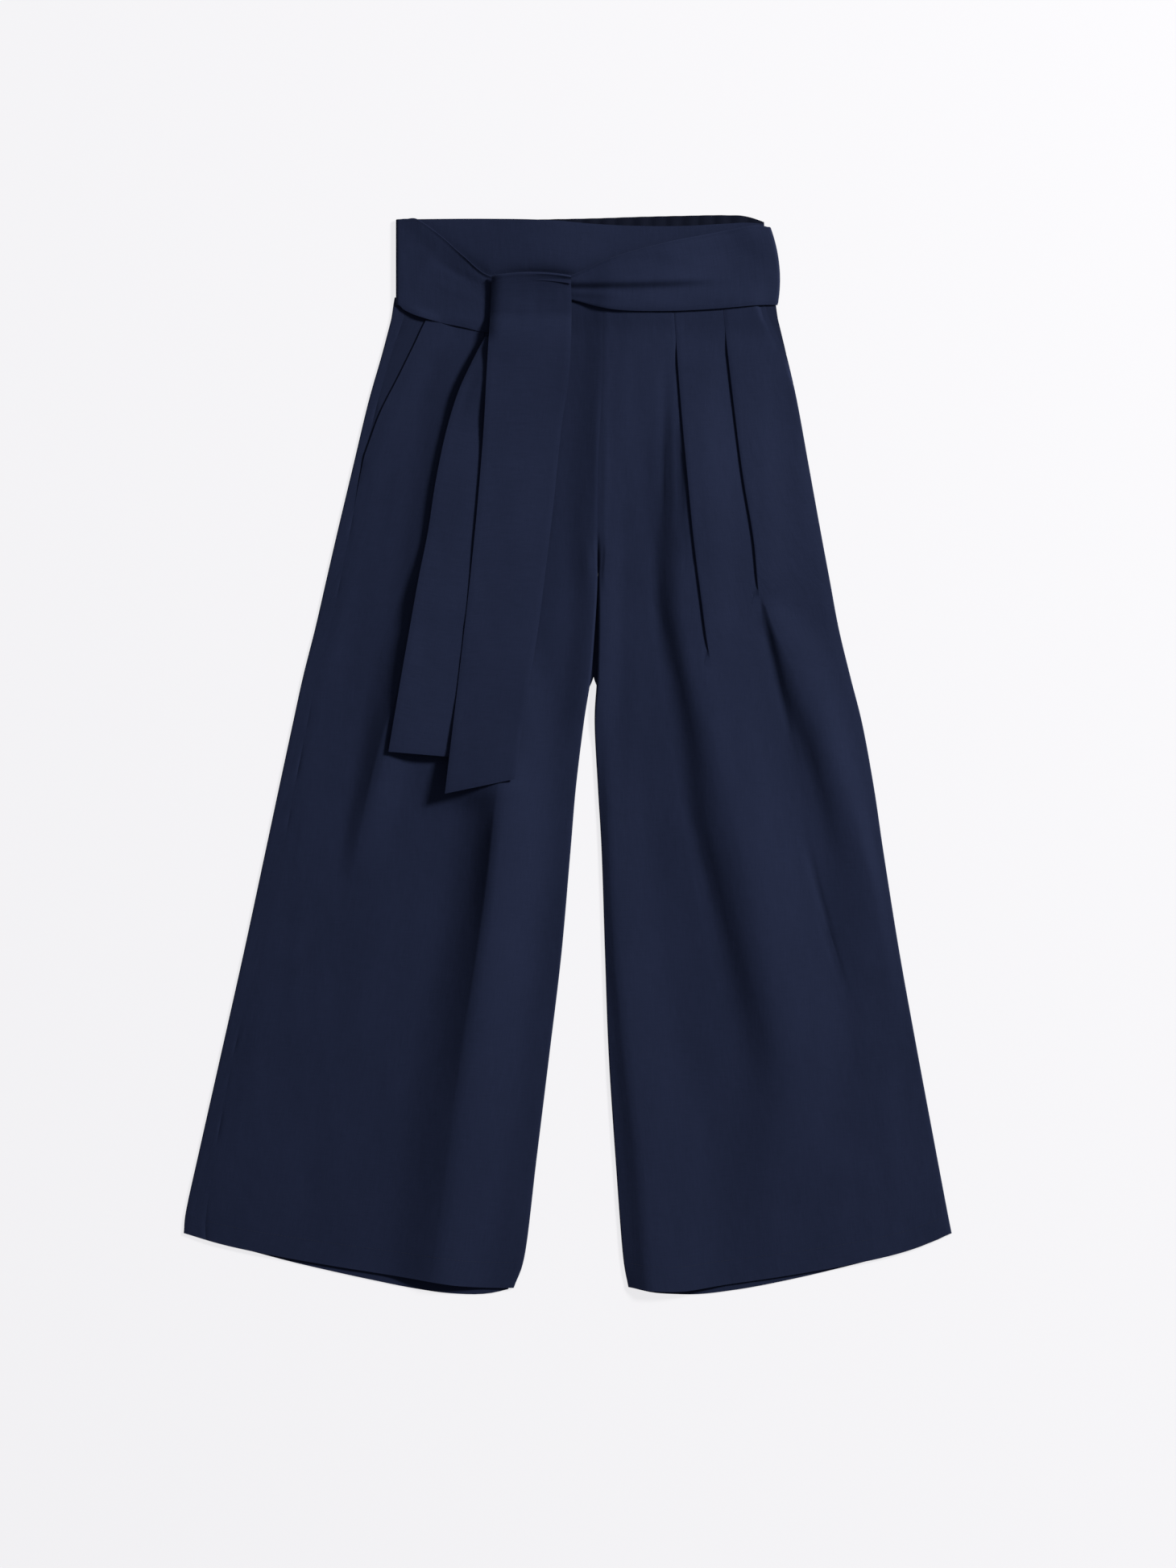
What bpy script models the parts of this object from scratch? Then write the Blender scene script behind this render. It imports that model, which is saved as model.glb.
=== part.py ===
"""Pleated wide-leg trousers with a tie belt, laid flat with the front up.

Metres, +Z up. The waist is towards +Y, the hems towards -Y, and the floor is z = 0. The origin lies on the
floor under the middle of the outline. Sides are the wearer's, so the right leg is at -X. Every piece is a
cloth wall: rows of points along its middle surface, moved out to both sides and closed round the edges.
Sizes below are in millimetres.
"""

import math

import bmesh
import bpy
import numpy as np

MM = 0.001

# The middle of the outline in the tables' own x and y, which is moved to the origin
MIDDLE = (-0.25, 1.0, 0.0)

# Cloth and gaps
CLOTH = 1.0
BELT = 1.6
GAP = 0.3
FLOOR_Z = CLOTH / 2
LAYER_Z = 1.5 * CLOTH + GAP
BELT_CLEARANCE = 0.6

# Turned edges of the leg panels
TURN_LENGTH = 6.5
TURN_TUCK = 2.0
TURN_STEPS = 4
SIDE_ROLL_HEIGHT = 3.2
LEAST_TURN = 0.5
EDGE_FADE = 24.0
NARROWEST = 1.5
BACK_INSET = 5.2
BACK_POINTS = 5

# Stations along the legs: the sections of the outline tables are numbered from 0 at the waist
CROTCH_STATION = 5.0
INSEAM_STATION = 7.0
INSEAM_BLEND = 0.5
FIND_STEPS = 6

# Knife pleats: three layers one layer pitch apart, joined by hairpin turns
HAIRPIN = (CLOTH + GAP) / 2
HAIRPIN_STEPS = 3
PLEAT_RISE = 4 * HAIRPIN
PLEAT_MARGIN = 2.0
PLEAT_FADE = 12.0
PLEAT_OPEN = -8.0

# Pockets
POCKET_UNDERLAP = 9.0
POCKET_LIFT = CLOTH + 2 * GAP
RIGHT_POCKET_END = 2.75
LEFT_POCKET_END = 1.0
LEFT_TURN_START = 1.5
RIGHT_POCKET_ROWS = 8
LEFT_POCKET_ROWS = 4
FACING_STEPS = 3

# Waistband
WAIST_Y = 423.3
GATHERS = 22
GATHER_RISE = 1.1
RIGHT_BAND_INSET = 3.4
LEFT_BAND_INSET = 9.4
FRONT_BAND_POINTS = 17
BAND_ROWS = (0.0, 0.5, 1.0)
FRONT_BAND_Z = CLOTH + GATHER_RISE + GAP + CLOTH / 2

# Tie belt
BELT_LOW_Z = FRONT_BAND_Z + CLOTH / 2 + GAP + BELT / 2
BELT_STEP_DOWN = 3.0
BELT_SIDE_DROP = 0.8
BELT_SIDE_END = BELT / 2 + GAP + BELT_SIDE_DROP
BELT_TURN_CLEAR = 3.0
BULGE_SHARE = 0.67
FOLD_SHARE = 0.28
RIGHT_WRAP_LOW_Y = 395.3
LEFT_WRAP_LOW_Y = 415.3
KNOT_TURN = 2.3
KNOT_TUCK = 7.0
KNOT_LOW_Y = 428.0
KNOT_FADE = 45.0
REAR_END_LIFT = 1.2
DRAPE_CELL = 4.0
DRAPE_REACH = 3
DRAPE_X = (-210.0, 35.0)
DRAPE_Y = (-80.0, 475.0)

NAVY = (0.012, 0.016, 0.037, 1.0)
NAVY_SHADED = (0.010, 0.013, 0.031, 1.0)
SHARP_DEGREES = 50


def table(columns, *rows):
    """A dictionary from each column's name to its values, one value a row."""
    return dict(zip(columns.split(), np.array(rows, float).T))


# Outline of each leg, one row a section from the waist seam to the hem: its ends on the outer side and on
# the centre seam or inseam, how far its front and its back hang below the straight line between them, and
# how far the back turns onto the front at the side.
RIGHT_OUTLINE = table(
    "outer_x outer_y inner_x inner_y bow back_bow wrap",
    (-163.5, 423.3, 32.7, 423.3, 0.0, 0.0, 13.0),
    (-175.5, 377.7, 32.7, 377.7, 0.0, 0.0, 9.0),
    (-188.5, 332.0, 31.5, 332.0, 0.0, 0.0, 9.0),
    (-203.0, 271.3, 28.3, 271.3, 0.0, 0.0, 9.0),
    (-217.5, 210.5, 27.7, 210.5, 0.0, 0.0, 12.0),
    (-228.0, 165.0, 28.2, 168.0, 0.0, 0.0, 13.5),
    (-238.5, 119.3, 25.5, 119.3, 0.0, 0.0, 14.0),
    (-250.0, 73.7, 21.7, 73.0, 0.0, 0.0, 13.0),
    (-260.0, 28.0, 15.2, 31.0, 0.0, 0.0, 14.0),
    (-273.0, -32.5, 7.6, -31.0, 0.0, 0.0, 15.0),
    (-286.0, -93.5, 2.3, -93.5, 0.0, 0.0, 16.5),
    (-305.5, -184.5, -6.1, -188.5, 0.5, 0.5, 16.0),
    (-326.0, -276.0, -17.5, -283.5, 2.0, 3.0, 12.0),
    (-346.5, -367.0, -29.6, -382.0, 4.0, 7.0, 15.0),
    (-360.0, -428.0, -40.3, -469.7, 6.5, 14.0, 19.0),
    (-362.5, -450.7, -51.0, -502.4, 7.2, 16.1, 21.0),
)
LEFT_OUTLINE = table(
    "outer_x outer_y inner_x inner_y bow back_bow",
    (195.5, 423.3, 32.7, 423.3, 0.0, 0.0),
    (206.5, 377.7, 32.7, 377.7, 0.0, 0.0),
    (216.5, 332.0, 31.5, 332.0, 0.0, 0.0),
    (227.5, 271.3, 28.3, 271.3, 0.0, 0.0),
    (238.5, 210.5, 27.7, 210.5, 0.0, 0.0),
    (247.0, 165.0, 28.5, 168.0, 0.0, 0.0),
    (255.5, 119.3, 28.5, 119.3, 0.0, 0.0),
    (266.5, 73.7, 27.4, 73.0, 0.0, 0.0),
    (278.0, 28.0, 25.2, 31.0, 0.0, 0.0),
    (289.0, -32.5, 28.3, -31.0, 0.0, 0.0),
    (298.0, -93.5, 31.9, -93.5, 0.0, 0.0),
    (312.5, -184.5, 35.0, -188.5, 1.0, 1.0),
    (329.0, -276.0, 38.5, -283.5, 4.0, 5.0),
    (346.0, -367.0, 45.0, -382.0, 8.0, 10.0),
    (357.5, -428.0, 51.7, -469.7, 12.5, 17.8),
    (362.0, -450.7, 57.0, -501.6, 13.7, 19.8),
)
ROWS_PER_SECTION = (2, 2, 2, 2, 2, 2, 2, 2, 2, 2, 3, 3, 3, 2, 1)
STATIONS = np.concatenate(
    [i + np.arange(n) / n for i, n in enumerate(ROWS_PER_SECTION)] + [[len(ROWS_PER_SECTION)]]
)
CENTRE_BACK = table("station x", (5.0, 28.35), (6.0, 26.6), (7.0, 24.2))

# How far each front panel turns down at its edges, in degrees, and the height at which the turn ends: flat
# along the centre seam, standing on the back panel between the legs, and round to the floor below.
INNER_EDGE = table(
    "station turn end_z",
    (0.0, 0.0, 1.8),
    (2.0, 0.0, 2.2),
    (3.0, 0.0, 3.2),
    (4.0, 0.0, 4.4),
    (5.0, 90.0, 2.1),
    (7.4, 90.0, 2.1),
    (8.4, 180.0, 0.5),
)
LEFT_OUTER_EDGE = table(
    "station turn end_z inset",
    (0.0, 0.0, 3.2, 12.0),
    (1.0, 0.0, 3.2, 0.5),
    (1.5, 60.0, 2.6, 0.0),
    (2.0, 180.0, 0.5, 0.0),
)
RIGHT_MOUTH = table(
    "y x",
    (423.3, -125.0),
    (412.5, -132.0),
    (387.0, -144.5),
    (359.5, -158.0),
    (318.5, -178.5),
    (298.0, -186.0),
    (280.0, -192.5),
)

# Main fold lines of each front, from the waist to the hem: x of each line at a height y
LEFT_LINES = table(
    "y strip foot crest pleat_a pleat_b dip swell",
    (423.0, 42.0, 82.0, 94.0, 100.0, 146.0, 158.0, 168.0),
    (340.0, 42.0, 82.0, 101.0, 106.0, 155.5, 175.0, 192.0),
    (260.0, 38.0, 77.0, 107.0, 113.0, 165.5, 182.5, 200.0),
    (200.0, 36.5, 75.5, 107.0, 119.0, 175.5, 183.0, 190.0),
    (150.0, 37.0, 79.0, 105.0, 125.5, 180.0, 182.5, 185.0),
    (90.0, 36.5, 89.0, 114.5, 134.0, 187.0, 196.0, 208.0),
    (20.0, 35.0, 101.0, 134.5, 152.0, 202.5, 212.0, 237.5),
    (-60.0, 38.5, 113.5, 153.5, 172.5, 216.0, 229.0, 267.0),
    (-120.0, 41.0, 127.0, 169.0, 190.0, 231.0, 240.0, 284.0),
    (-200.0, 46.0, 145.0, 184.5, 216.5, 256.0, 264.5, 299.0),
    (-270.0, 53.0, 157.5, 198.0, 235.5, 277.5, 286.5, 314.0),
    (-380.0, 66.0, 152.0, 204.0, 251.0, 294.0, 303.0, 327.0),
    (-515.0, 77.0, 158.0, 210.0, 262.0, 306.0, 315.5, 338.0),
)
RIGHT_LINES = table(
    "y groove pleat_a a_foot pleat_b b_foot",
    (423.0, 14.5, -32.5, -49.5, -74.5, -87.5),
    (340.0, 14.5, -34.0, -51.0, -89.0, -102.5),
    (260.0, 14.5, -36.5, -54.0, -108.0, -121.5),
    (200.0, 10.5, -40.0, -58.5, -119.5, -134.0),
    (150.0, 8.5, -44.5, -63.0, -130.5, -146.0),
    (90.0, 5.5, -49.5, -67.0, -149.5, -164.0),
    (20.0, 0.5, -58.5, -75.0, -172.5, -187.0),
    (-60.0, -5.5, -68.5, -87.5, -192.0, -206.5),
    (-120.0, -10.0, -75.0, -96.0, -203.0, -217.5),
    (-200.0, -17.0, -86.0, -108.5, -213.5, -229.5),
    (-270.0, -25.0, -97.0, -122.5, -224.0, -241.0),
    (-380.0, -39.0, -111.0, -140.5, -235.5, -254.5),
    (-515.0, -67.0, -128.5, -161.0, -247.0, -268.5),
)

# What each front's sections pass from the inner edge to the outer one. "+3" is three points spread between.
LEFT_COLUMNS = ("strip", "+3", "foot", "crest", "pleat_a", "+1", "pleat_b", "dip", "swell", "+1")
RIGHT_COLUMNS = ("groove", "+1", "pleat_a", "a_foot", "+3", "pleat_b", "b_foot", "+3")

# Depth of each pleat under its fold. Below zero it has opened into a step, and it ends at PLEAT_OPEN.
PLEAT_A = table(
    "y depth",
    (423.0, 22.0),
    (322.0, 19.0),
    (260.0, 16.0),
    (200.0, 12.0),
    (150.0, 8.0),
    (110.0, 3.0),
    (80.0, -9.0),
)
PLEAT_B = table(
    "y depth",
    (423.0, 21.0),
    (330.0, 17.0),
    (260.0, 13.0),
    (200.0, 8.0),
    (165.0, 2.0),
    (140.0, -9.0),
)

# Soft folds: how high each one stands along its line, and how wide it is towards the inseam and the side
LEFT_FOLDS = {
    "strip": table(
        "y rise inward outward",
        (30.0, 0.0, 9.0, 30.0),
        (-48.0, 1.8, 9.0, 35.0),
        (-149.0, 3.0, 10.0, 45.0),
        (-224.0, 4.2, 13.0, 55.0),
        (-300.0, 5.4, 17.0, 66.0),
        (-383.0, 6.2, 21.0, 76.0),
        (-515.0, 6.8, 24.0, 84.0),
    ),
    "crest": table(
        "y rise inward outward",
        (350.0, 0.0, 20.0, 50.0),
        (287.0, 3.0, 30.0, 55.0),
        (218.0, 4.0, 21.0, 58.0),
        (180.0, 5.0, 21.0, 60.0),
        (134.0, 6.0, 22.0, 60.0),
        (89.0, 6.5, 24.0, 62.0),
        (28.0, 7.5, 32.0, 66.0),
        (-86.0, 8.0, 40.0, 70.0),
        (-139.0, 8.0, 42.0, 74.0),
        (-200.0, 7.0, 40.0, 74.0),
        (-261.0, 5.5, 40.0, 70.0),
        (-340.0, 3.0, 45.0, 60.0),
        (-430.0, 0.0, 45.0, 60.0),
    ),
    "swell": table(
        "y rise inward outward",
        (170.0, 0.0, 12.0, 50.0),
        (134.0, 3.0, 13.0, 52.0),
        (89.0, 5.5, 24.0, 46.0),
        (28.0, 6.5, 34.0, 40.0),
        (-30.0, 6.0, 40.0, 30.0),
        (-86.0, 4.5, 44.0, 20.0),
        (-139.0, 3.0, 50.0, 16.0),
        (-200.0, 1.2, 50.0, 15.0),
        (-260.0, 0.0, 50.0, 15.0),
    ),
}
RIGHT_FOLDS = {
    "pleat_a": table(
        "y rise inward outward",
        (115.0, 0.0, 24.0, 14.0),
        (60.0, 4.5, 40.0, 20.0),
        (-40.0, 8.5, 56.0, 38.0),
        (-107.0, 10.5, 64.0, 36.0),
        (-181.0, 12.0, 66.0, 44.0),
        (-258.0, 12.0, 66.0, 50.0),
        (-333.0, 11.0, 64.0, 52.0),
        (-407.0, 9.5, 60.0, 52.0),
        (-515.0, 6.5, 54.0, 48.0),
    ),
    "pleat_b": table(
        "y rise inward outward",
        (190.0, 0.0, 20.0, 20.0),
        (110.0, 4.0, 26.0, 30.0),
        (14.0, 7.0, 32.0, 22.0),
        (-33.0, 6.0, 34.0, 20.0),
        (-74.0, 3.5, 32.0, 18.0),
        (-115.0, 0.0, 30.0, 16.0),
    ),
}

# How much of a section's sag there is at each share of the way from the inseam to the side
FRONT_SAG = table(
    "share sag",
    (0.0, 0.0),
    (0.06, 0.42),
    (0.15, 0.85),
    (0.3, 0.95),
    (0.55, 1.05),
    (0.7, 1.0),
    (0.9, 0.58),
    (1.0, 0.0),
)
RIGHT_BACK_SAG = table(
    "share sag",
    (0.0, 0.0),
    (0.07, 0.54),
    (0.19, 0.94),
    (0.31, 1.0),
    (0.43, 0.92),
    (0.56, 0.79),
    (0.68, 0.63),
    (0.8, 0.4),
    (0.9, 0.2),
    (1.0, 0.0),
)
LEFT_BACK_SAG = table(
    "share sag",
    (0.0, 0.0),
    (0.077, 0.47),
    (0.14, 0.7),
    (0.2, 0.87),
    (0.325, 0.99),
    (0.51, 0.93),
    (0.64, 0.8),
    (0.76, 0.64),
    (0.885, 0.42),
    (0.95, 0.24),
    (1.0, 0.0),
)

# Top edges of the waistband's front and back
BAND_TOP = table(
    "x front back",
    (-162.0, 504.8, 503.8),
    (-80.0, 505.0, 504.0),
    (-11.0, 503.0, 505.2),
    (27.0, 500.0, 506.0),
    (62.0, 498.6, 507.2),
    (111.0, 498.6, 508.4),
    (148.0, 500.6, 508.9),
    (166.0, 501.6, 508.2),
    (192.0, 500.0, 500.0),
)

# Belt pieces. A wrap has a row a section along it, and an end has a row a section down it.
RIGHT_WRAP = table(
    "x top bottom bulge lift",
    (-161.5, 504.7, 423.8, 0.0, 0.0),
    (-152.0, 505.0, 418.0, 0.0, 0.0),
    (-140.5, 504.0, 413.0, 0.0, 0.3),
    (-118.5, 488.0, 407.0, 0.0, 0.8),
    (-99.0, 470.5, 403.0, 0.0, 1.2),
    (-74.5, 451.5, 398.0, 0.0, 1.0),
    (-40.0, 449.0, 401.0, 0.0, 0.4),
)
LEFT_WRAP = table(
    "x top bottom bulge lift",
    (194.5, 497.5, 423.9, 5.0, 0.0),
    (177.0, 498.5, 423.5, 4.0, 0.2),
    (133.0, 490.0, 419.5, 2.0, 0.4),
    (87.5, 480.5, 417.5, 0.0, 1.0),
    (42.0, 467.5, 419.0, 0.0, 1.6),
    (5.5, 451.5, 428.0, 0.0, 1.6),
    (-12.0, 449.5, 430.0, 0.0, 0.6),
    (-30.0, 449.0, 431.5, 0.0, 0.2),
)

# The soft fold along each wrap: its share of the way down, and its rise
RIGHT_WRAP_FOLD = table(
    "x share rise",
    (-140.0, 0.25, 0.0),
    (-120.0, 0.35, 1.6),
    (-95.0, 0.6, 1.8),
    (-60.0, 0.6, 0.8),
)
LEFT_WRAP_FOLD = table(
    "x share rise",
    (-20.0, 0.7, 0.8),
    (5.0, 0.72, 2.2),
    (42.0, 0.76, 2.4),
    (118.0, 0.82, 1.0),
    (150.0, 0.84, 0.0),
)
FRONT_END = table(
    "left_x left_y right_x right_y",
    (-71.5, 449.9, 3.0, 449.2),
    (-73.5, 408.0, 3.5, 408.0),
    (-76.5, 355.0, 1.0, 355.0),
    (-79.0, 309.0, -6.0, 309.0),
    (-84.5, 241.0, -13.0, 241.0),
    (-92.0, 165.0, -21.5, 170.0),
    (-99.0, 104.0, -29.0, 112.0),
    (-108.0, 28.0, -41.0, 40.0),
    (-115.5, -36.5, -49.5, -22.8),
)
REAR_END = table(
    "left_x left_y right_x right_y",
    (-78.0, 393.0, -45.0, 391.0),
    (-90.0, 370.0, -46.0, 369.0),
    (-103.5, 340.0, -44.0, 338.0),
    (-115.0, 302.0, -44.0, 300.0),
    (-124.5, 256.0, -49.5, 256.0),
    (-131.5, 210.5, -58.5, 210.5),
    (-140.5, 165.0, -69.0, 163.0),
    (-151.3, 104.0, -82.0, 101.0),
    (-160.5, 51.0, -93.0, 46.0),
    (-168.7, 3.0, -104.5, -2.5),
)


def smooth(keys, values, key):
    """Cubic reading of values at key, where keys rise. It holds the end values past both ends."""
    i = int(np.clip(np.searchsorted(keys, key) - 1, 0, len(keys) - 2))
    span = keys[i + 1] - keys[i]
    t = min(max((key - keys[i]) / span, 0.0), 1.0)
    slopes = np.gradient(values, keys)[i : i + 2] * span
    rest = (2 * t**3 - 3 * t**2 + 1) * values[i] + (3 * t**2 - 2 * t**3) * values[i + 1]
    return rest + (t**3 - 2 * t**2 + t) * slopes[0] + (t**3 - t**2) * slopes[1]


def at_station(rows, column, station):
    return smooth(np.arange(len(rows[column]), dtype=float), rows[column], station)


def at_height(rows, column, y):
    """The column's value at height y, in a table whose rows run down the garment."""
    return smooth(-rows["y"], rows[column], -y)


def fade(distance, width):
    """1 at no distance, easing to 0 at width."""
    t = min(max(distance / width, 0.0), 1.0)
    return 0.5 + 0.5 * math.cos(math.pi * t)


class Leg:
    """One leg's plan. Positions across it are distances outward from its inner edge."""

    def __init__(self, outline, lines, folds, back_sag, side):
        self.outline = outline
        self.sag = {"bow": FRONT_SAG, "back_bow": back_sag}
        self.lines = lines
        self.folds = folds
        self.side = side

    def place(self, station, outward, bow="bow"):
        """x and y at a distance outward along a section."""
        ends = {name: at_station(self.outline, name, station) for name in self.outline}
        width = abs(ends["outer_x"] - ends["inner_x"])
        share = min(max(outward / width, 0.0), 1.0)
        y = ends["inner_y"] + (ends["outer_y"] - ends["inner_y"]) * share
        sag = smooth(self.sag[bow]["share"], self.sag[bow]["sag"], share)
        return ends["inner_x"] + self.side * outward, y - ends[bow] * sag

    def width(self, station):
        inner = at_station(self.outline, "inner_x", station)
        return abs(at_station(self.outline, "outer_x", station) - inner)

    def find(self, station, line_at):
        """The distance outward at which the section meets a line, given as x at a height."""
        outward = self.width(station) / 2
        for _ in range(FIND_STEPS):
            _, y = self.place(station, outward)
            outward = self.side * (line_at(y) - at_station(self.outline, "inner_x", station))
        return outward

    def fold_height(self, x, y):
        """Height of the soft folds over the layer."""
        height = 0.0
        for name, rows in self.folds.items():
            rise = max(at_height(rows, "rise", y), 0.0)
            if rise <= 0 or not rows["y"][-1] <= y <= rows["y"][0]:
                continue
            away = self.side * (x - at_height(self.lines, name, y))
            width = at_height(rows, "outward" if away > 0 else "inward", y)
            height += rise * fade(abs(away), width)
        return height

    def pleat_height(self, x, y, pleat, rows):
        """Height that a pleat's two extra layers add."""
        depth = at_height(rows, "depth", y)
        if depth < PLEAT_OPEN:
            return 0.0
        away = self.side * (x - at_height(self.lines, pleat, y))
        if away < -PLEAT_MARGIN:
            return 0.0
        return PLEAT_RISE * fade(away - max(depth, 0.0) - PLEAT_MARGIN, PLEAT_FADE)


RIGHT = Leg(RIGHT_OUTLINE, RIGHT_LINES, RIGHT_FOLDS, RIGHT_BACK_SAG, -1)
LEFT = Leg(LEFT_OUTLINE, LEFT_LINES, LEFT_FOLDS, LEFT_BACK_SAG, 1)
PLEATS = {"pleat_a": PLEAT_A, "pleat_b": PLEAT_B}


def turned_edge(turn, end_z):
    """An edge that turns down, as (distance inside the edge, z) from its hidden end to its top."""
    angle = math.radians(max(turn, LEAST_TURN))
    radius = TURN_LENGTH / angle
    points = [
        (-radius * math.sin(angle * k / TURN_STEPS), -radius * (1 - math.cos(angle * k / TURN_STEPS)))
        for k in range(TURN_STEPS + 1)
    ]
    last = points[-1]
    points.append((last[0] - TURN_TUCK * math.cos(angle), last[1] - TURN_TUCK * math.sin(angle)))
    nearest = min(p[0] for p in points) - CLOTH / 2 * math.sin(min(angle, math.pi / 2))
    lowest = points[-1][1]
    return [(p[0] - nearest, p[1] - lowest + end_z) for p in reversed(points)]


def pleat_points(edge, depth, z):
    """The two hairpin turns of a pleat whose fold stands at edge, from its lower layer to its upper one."""
    turn = math.pi if depth >= 0 else 2 * math.atan2(2 * HAIRPIN, -depth)
    lower = [
        (
            edge + depth + HAIRPIN * math.sin(turn * k / HAIRPIN_STEPS),
            z + HAIRPIN * (1 - math.cos(turn * k / HAIRPIN_STEPS)),
        )
        for k in range(HAIRPIN_STEPS + 1)
    ]
    middle = (2 * edge + depth, 2 * z + PLEAT_RISE)
    return lower + [(middle[0] - p[0], middle[1] - p[1]) for p in reversed(lower)]


def side_roll_z(inside):
    """Height of the cloth near a side where the back panel turns onto the front."""
    return LAYER_Z + (FLOOR_Z + SIDE_ROLL_HEIGHT - LAYER_Z) * fade(inside - SIDE_ROLL_HEIGHT / 2, EDGE_FADE)


def front_row(leg, station, columns, outer):
    """One section of a front panel from its inner edge to its outer one, as (key, point) pairs.

    Points of neighbouring sections with the same key are joined by a quad.
    """
    inner = turned_edge(
        np.interp(station, INNER_EDGE["station"], INNER_EDGE["turn"]),
        np.interp(station, INNER_EDGE["station"], INNER_EDGE["end_z"]),
    )
    seam = GAP / 2 if station < CROTCH_STATION else 0.0
    inner = [(s + seam, z) for s, z in inner]
    total = leg.width(station)
    outer = [(total - s, z) for s, z in reversed(outer(leg, station))]
    inner_top, outer_top = inner[-1], outer[0]

    def height(outward):
        x, y = leg.place(station, outward)
        near = (inner_top[1] - LAYER_Z) * fade(outward - inner_top[0], EDGE_FADE)
        far = (outer_top[1] - LAYER_Z) * fade(outer_top[0] - outward, EDGE_FADE)
        return LAYER_Z + near + far + leg.fold_height(x, y)

    places = {}
    for name in columns:
        if name[0] != "+":
            places[name] = leg.find(station, lambda y, n=name: at_height(leg.lines, n, y))
    path = [(k / 10, s, z) for k, (s, z) in enumerate(inner)]
    last, step_from, step_z = inner_top[0], None, 0.0
    for index, name in enumerate(columns):
        key = index + 1.0
        if name[0] == "+":
            following = next((places[n] for n in columns[index:] if n[0] != "+"), outer_top[0])
            if columns[index + 1 : index + 2] and columns[index + 1] in PLEATS:
                following -= PLEAT_MARGIN
            count = int(name[1:])
            if following - last < NARROWEST * (count + 1):
                continue
            for k in range(1, count + 1):
                outward = last + (following - last) * k / (count + 1)
                extra = 0.0 if step_from is None else PLEAT_RISE * fade(outward - step_from, PLEAT_FADE)
                path.append((key + k / 10, outward, height(outward) + extra))
            continue
        edge = places[name]
        if not last + NARROWEST < edge < outer_top[0] - NARROWEST:
            continue
        y = leg.place(station, edge)[1]
        depth = at_height(PLEATS[name], "depth", y) if name in PLEATS else PLEAT_OPEN
        if depth <= PLEAT_OPEN:
            extra = 0.0 if step_from is None else PLEAT_RISE * fade(edge - step_from, PLEAT_FADE)
            path.append((key + 0.4, edge, height(edge) + extra))
            last = edge
            continue
        z = height(edge)
        path.append((key, edge - PLEAT_MARGIN + min(depth, 0.0), z))
        for k, (s, pz) in enumerate(pleat_points(edge, depth, z)):
            path.append((key + 0.1 + k / 20, s, pz))
        step_from = edge + max(depth, 0.0) + PLEAT_MARGIN
        path.append((key + 0.9, step_from, max(height(step_from), z) + PLEAT_RISE))
        last = step_from
    key = len(columns) + 1.0
    path += [(key + k / 10, s, z) for k, (s, z) in enumerate(outer)]
    row = []
    for key, outward, z in path:
        x, y = leg.place(station, outward)
        row.append((key, (x, y, z)))
    return row


def left_outer_edge(leg, station):
    stations = LEFT_OUTER_EDGE["station"]
    turn = np.interp(station, stations, LEFT_OUTER_EDGE["turn"])
    end_z = np.interp(station, stations, LEFT_OUTER_EDGE["end_z"])
    inset = np.interp(station, stations, LEFT_OUTER_EDGE["inset"])
    return [(s + inset, z) for s, z in turned_edge(turn, end_z)]


def side_seam(leg, station):
    """Distance of the right side seam inside the outline."""
    return at_station(leg.outline, "wrap", station)


def mouth_inside(leg, station):
    """Distance of the right pocket mouth inside the outline."""
    outward = leg.find(station, lambda y: at_height(RIGHT_MOUTH, "x", y))
    return max(leg.width(station) - outward, side_seam(leg, station) + GAP)


def pocket_share(station):
    """1 beside the right pocket, easing to 0 below it."""
    return fade(station - RIGHT_POCKET_END, 1.0)


def right_outer_edge(leg, station):
    inside = side_seam(leg, station) + GAP
    if station <= RIGHT_POCKET_END:
        inside = mouth_inside(leg, station)
    lift = POCKET_LIFT * pocket_share(station)
    return [(inside + s, side_roll_z(inside + s) + lift) for s in (0.0, POCKET_UNDERLAP + CLOTH)]


def back_inner(leg, station, bow):
    """x and y of a back panel's inner edge: the centre back seam, then the inseam under the turned front."""
    x, y = leg.place(station, BACK_INSET, bow)
    if station >= INSEAM_STATION + INSEAM_BLEND:
        return x, y
    seam_x = at_station(leg.outline, "inner_x", station)
    if station > CROTCH_STATION:
        seam_x = smooth(CENTRE_BACK["station"], CENTRE_BACK["x"], station)
    seam_x += leg.side * GAP / 2
    share = max(station - INSEAM_STATION, 0.0) / INSEAM_BLEND
    return seam_x + (x - seam_x) * share, y


def flat_points(leg, station, start, stop, count, z):
    """Points of a flat stretch between two distances outward."""
    places = np.linspace(start, stop, count)
    return [(*leg.place(station, outward, "back_bow"), z) for outward in places]


def back_row_right(leg, station):
    total = leg.width(station)
    x, y = back_inner(leg, station, "back_bow")
    start = leg.side * (x - at_station(leg.outline, "inner_x", station))
    radius = SIDE_ROLL_HEIGHT / 2
    centre = total - CLOTH / 2 - radius
    points = [(x, y, FLOOR_Z)] + flat_points(leg, station, start, centre, BACK_POINTS, FLOOR_Z)[1:]
    for k in range(1, TURN_STEPS + 1):
        angle = math.pi * k / TURN_STEPS
        place = leg.place(station, centre + radius * math.sin(angle))
        points.append((*place, FLOOR_Z + radius * (1 - math.cos(angle))))
    seam = side_seam(leg, station)
    for inside in ((seam + SIDE_ROLL_HEIGHT) / 2, seam):
        points.append((*leg.place(station, total - inside), side_roll_z(inside)))
    return list(enumerate(points))


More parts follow.
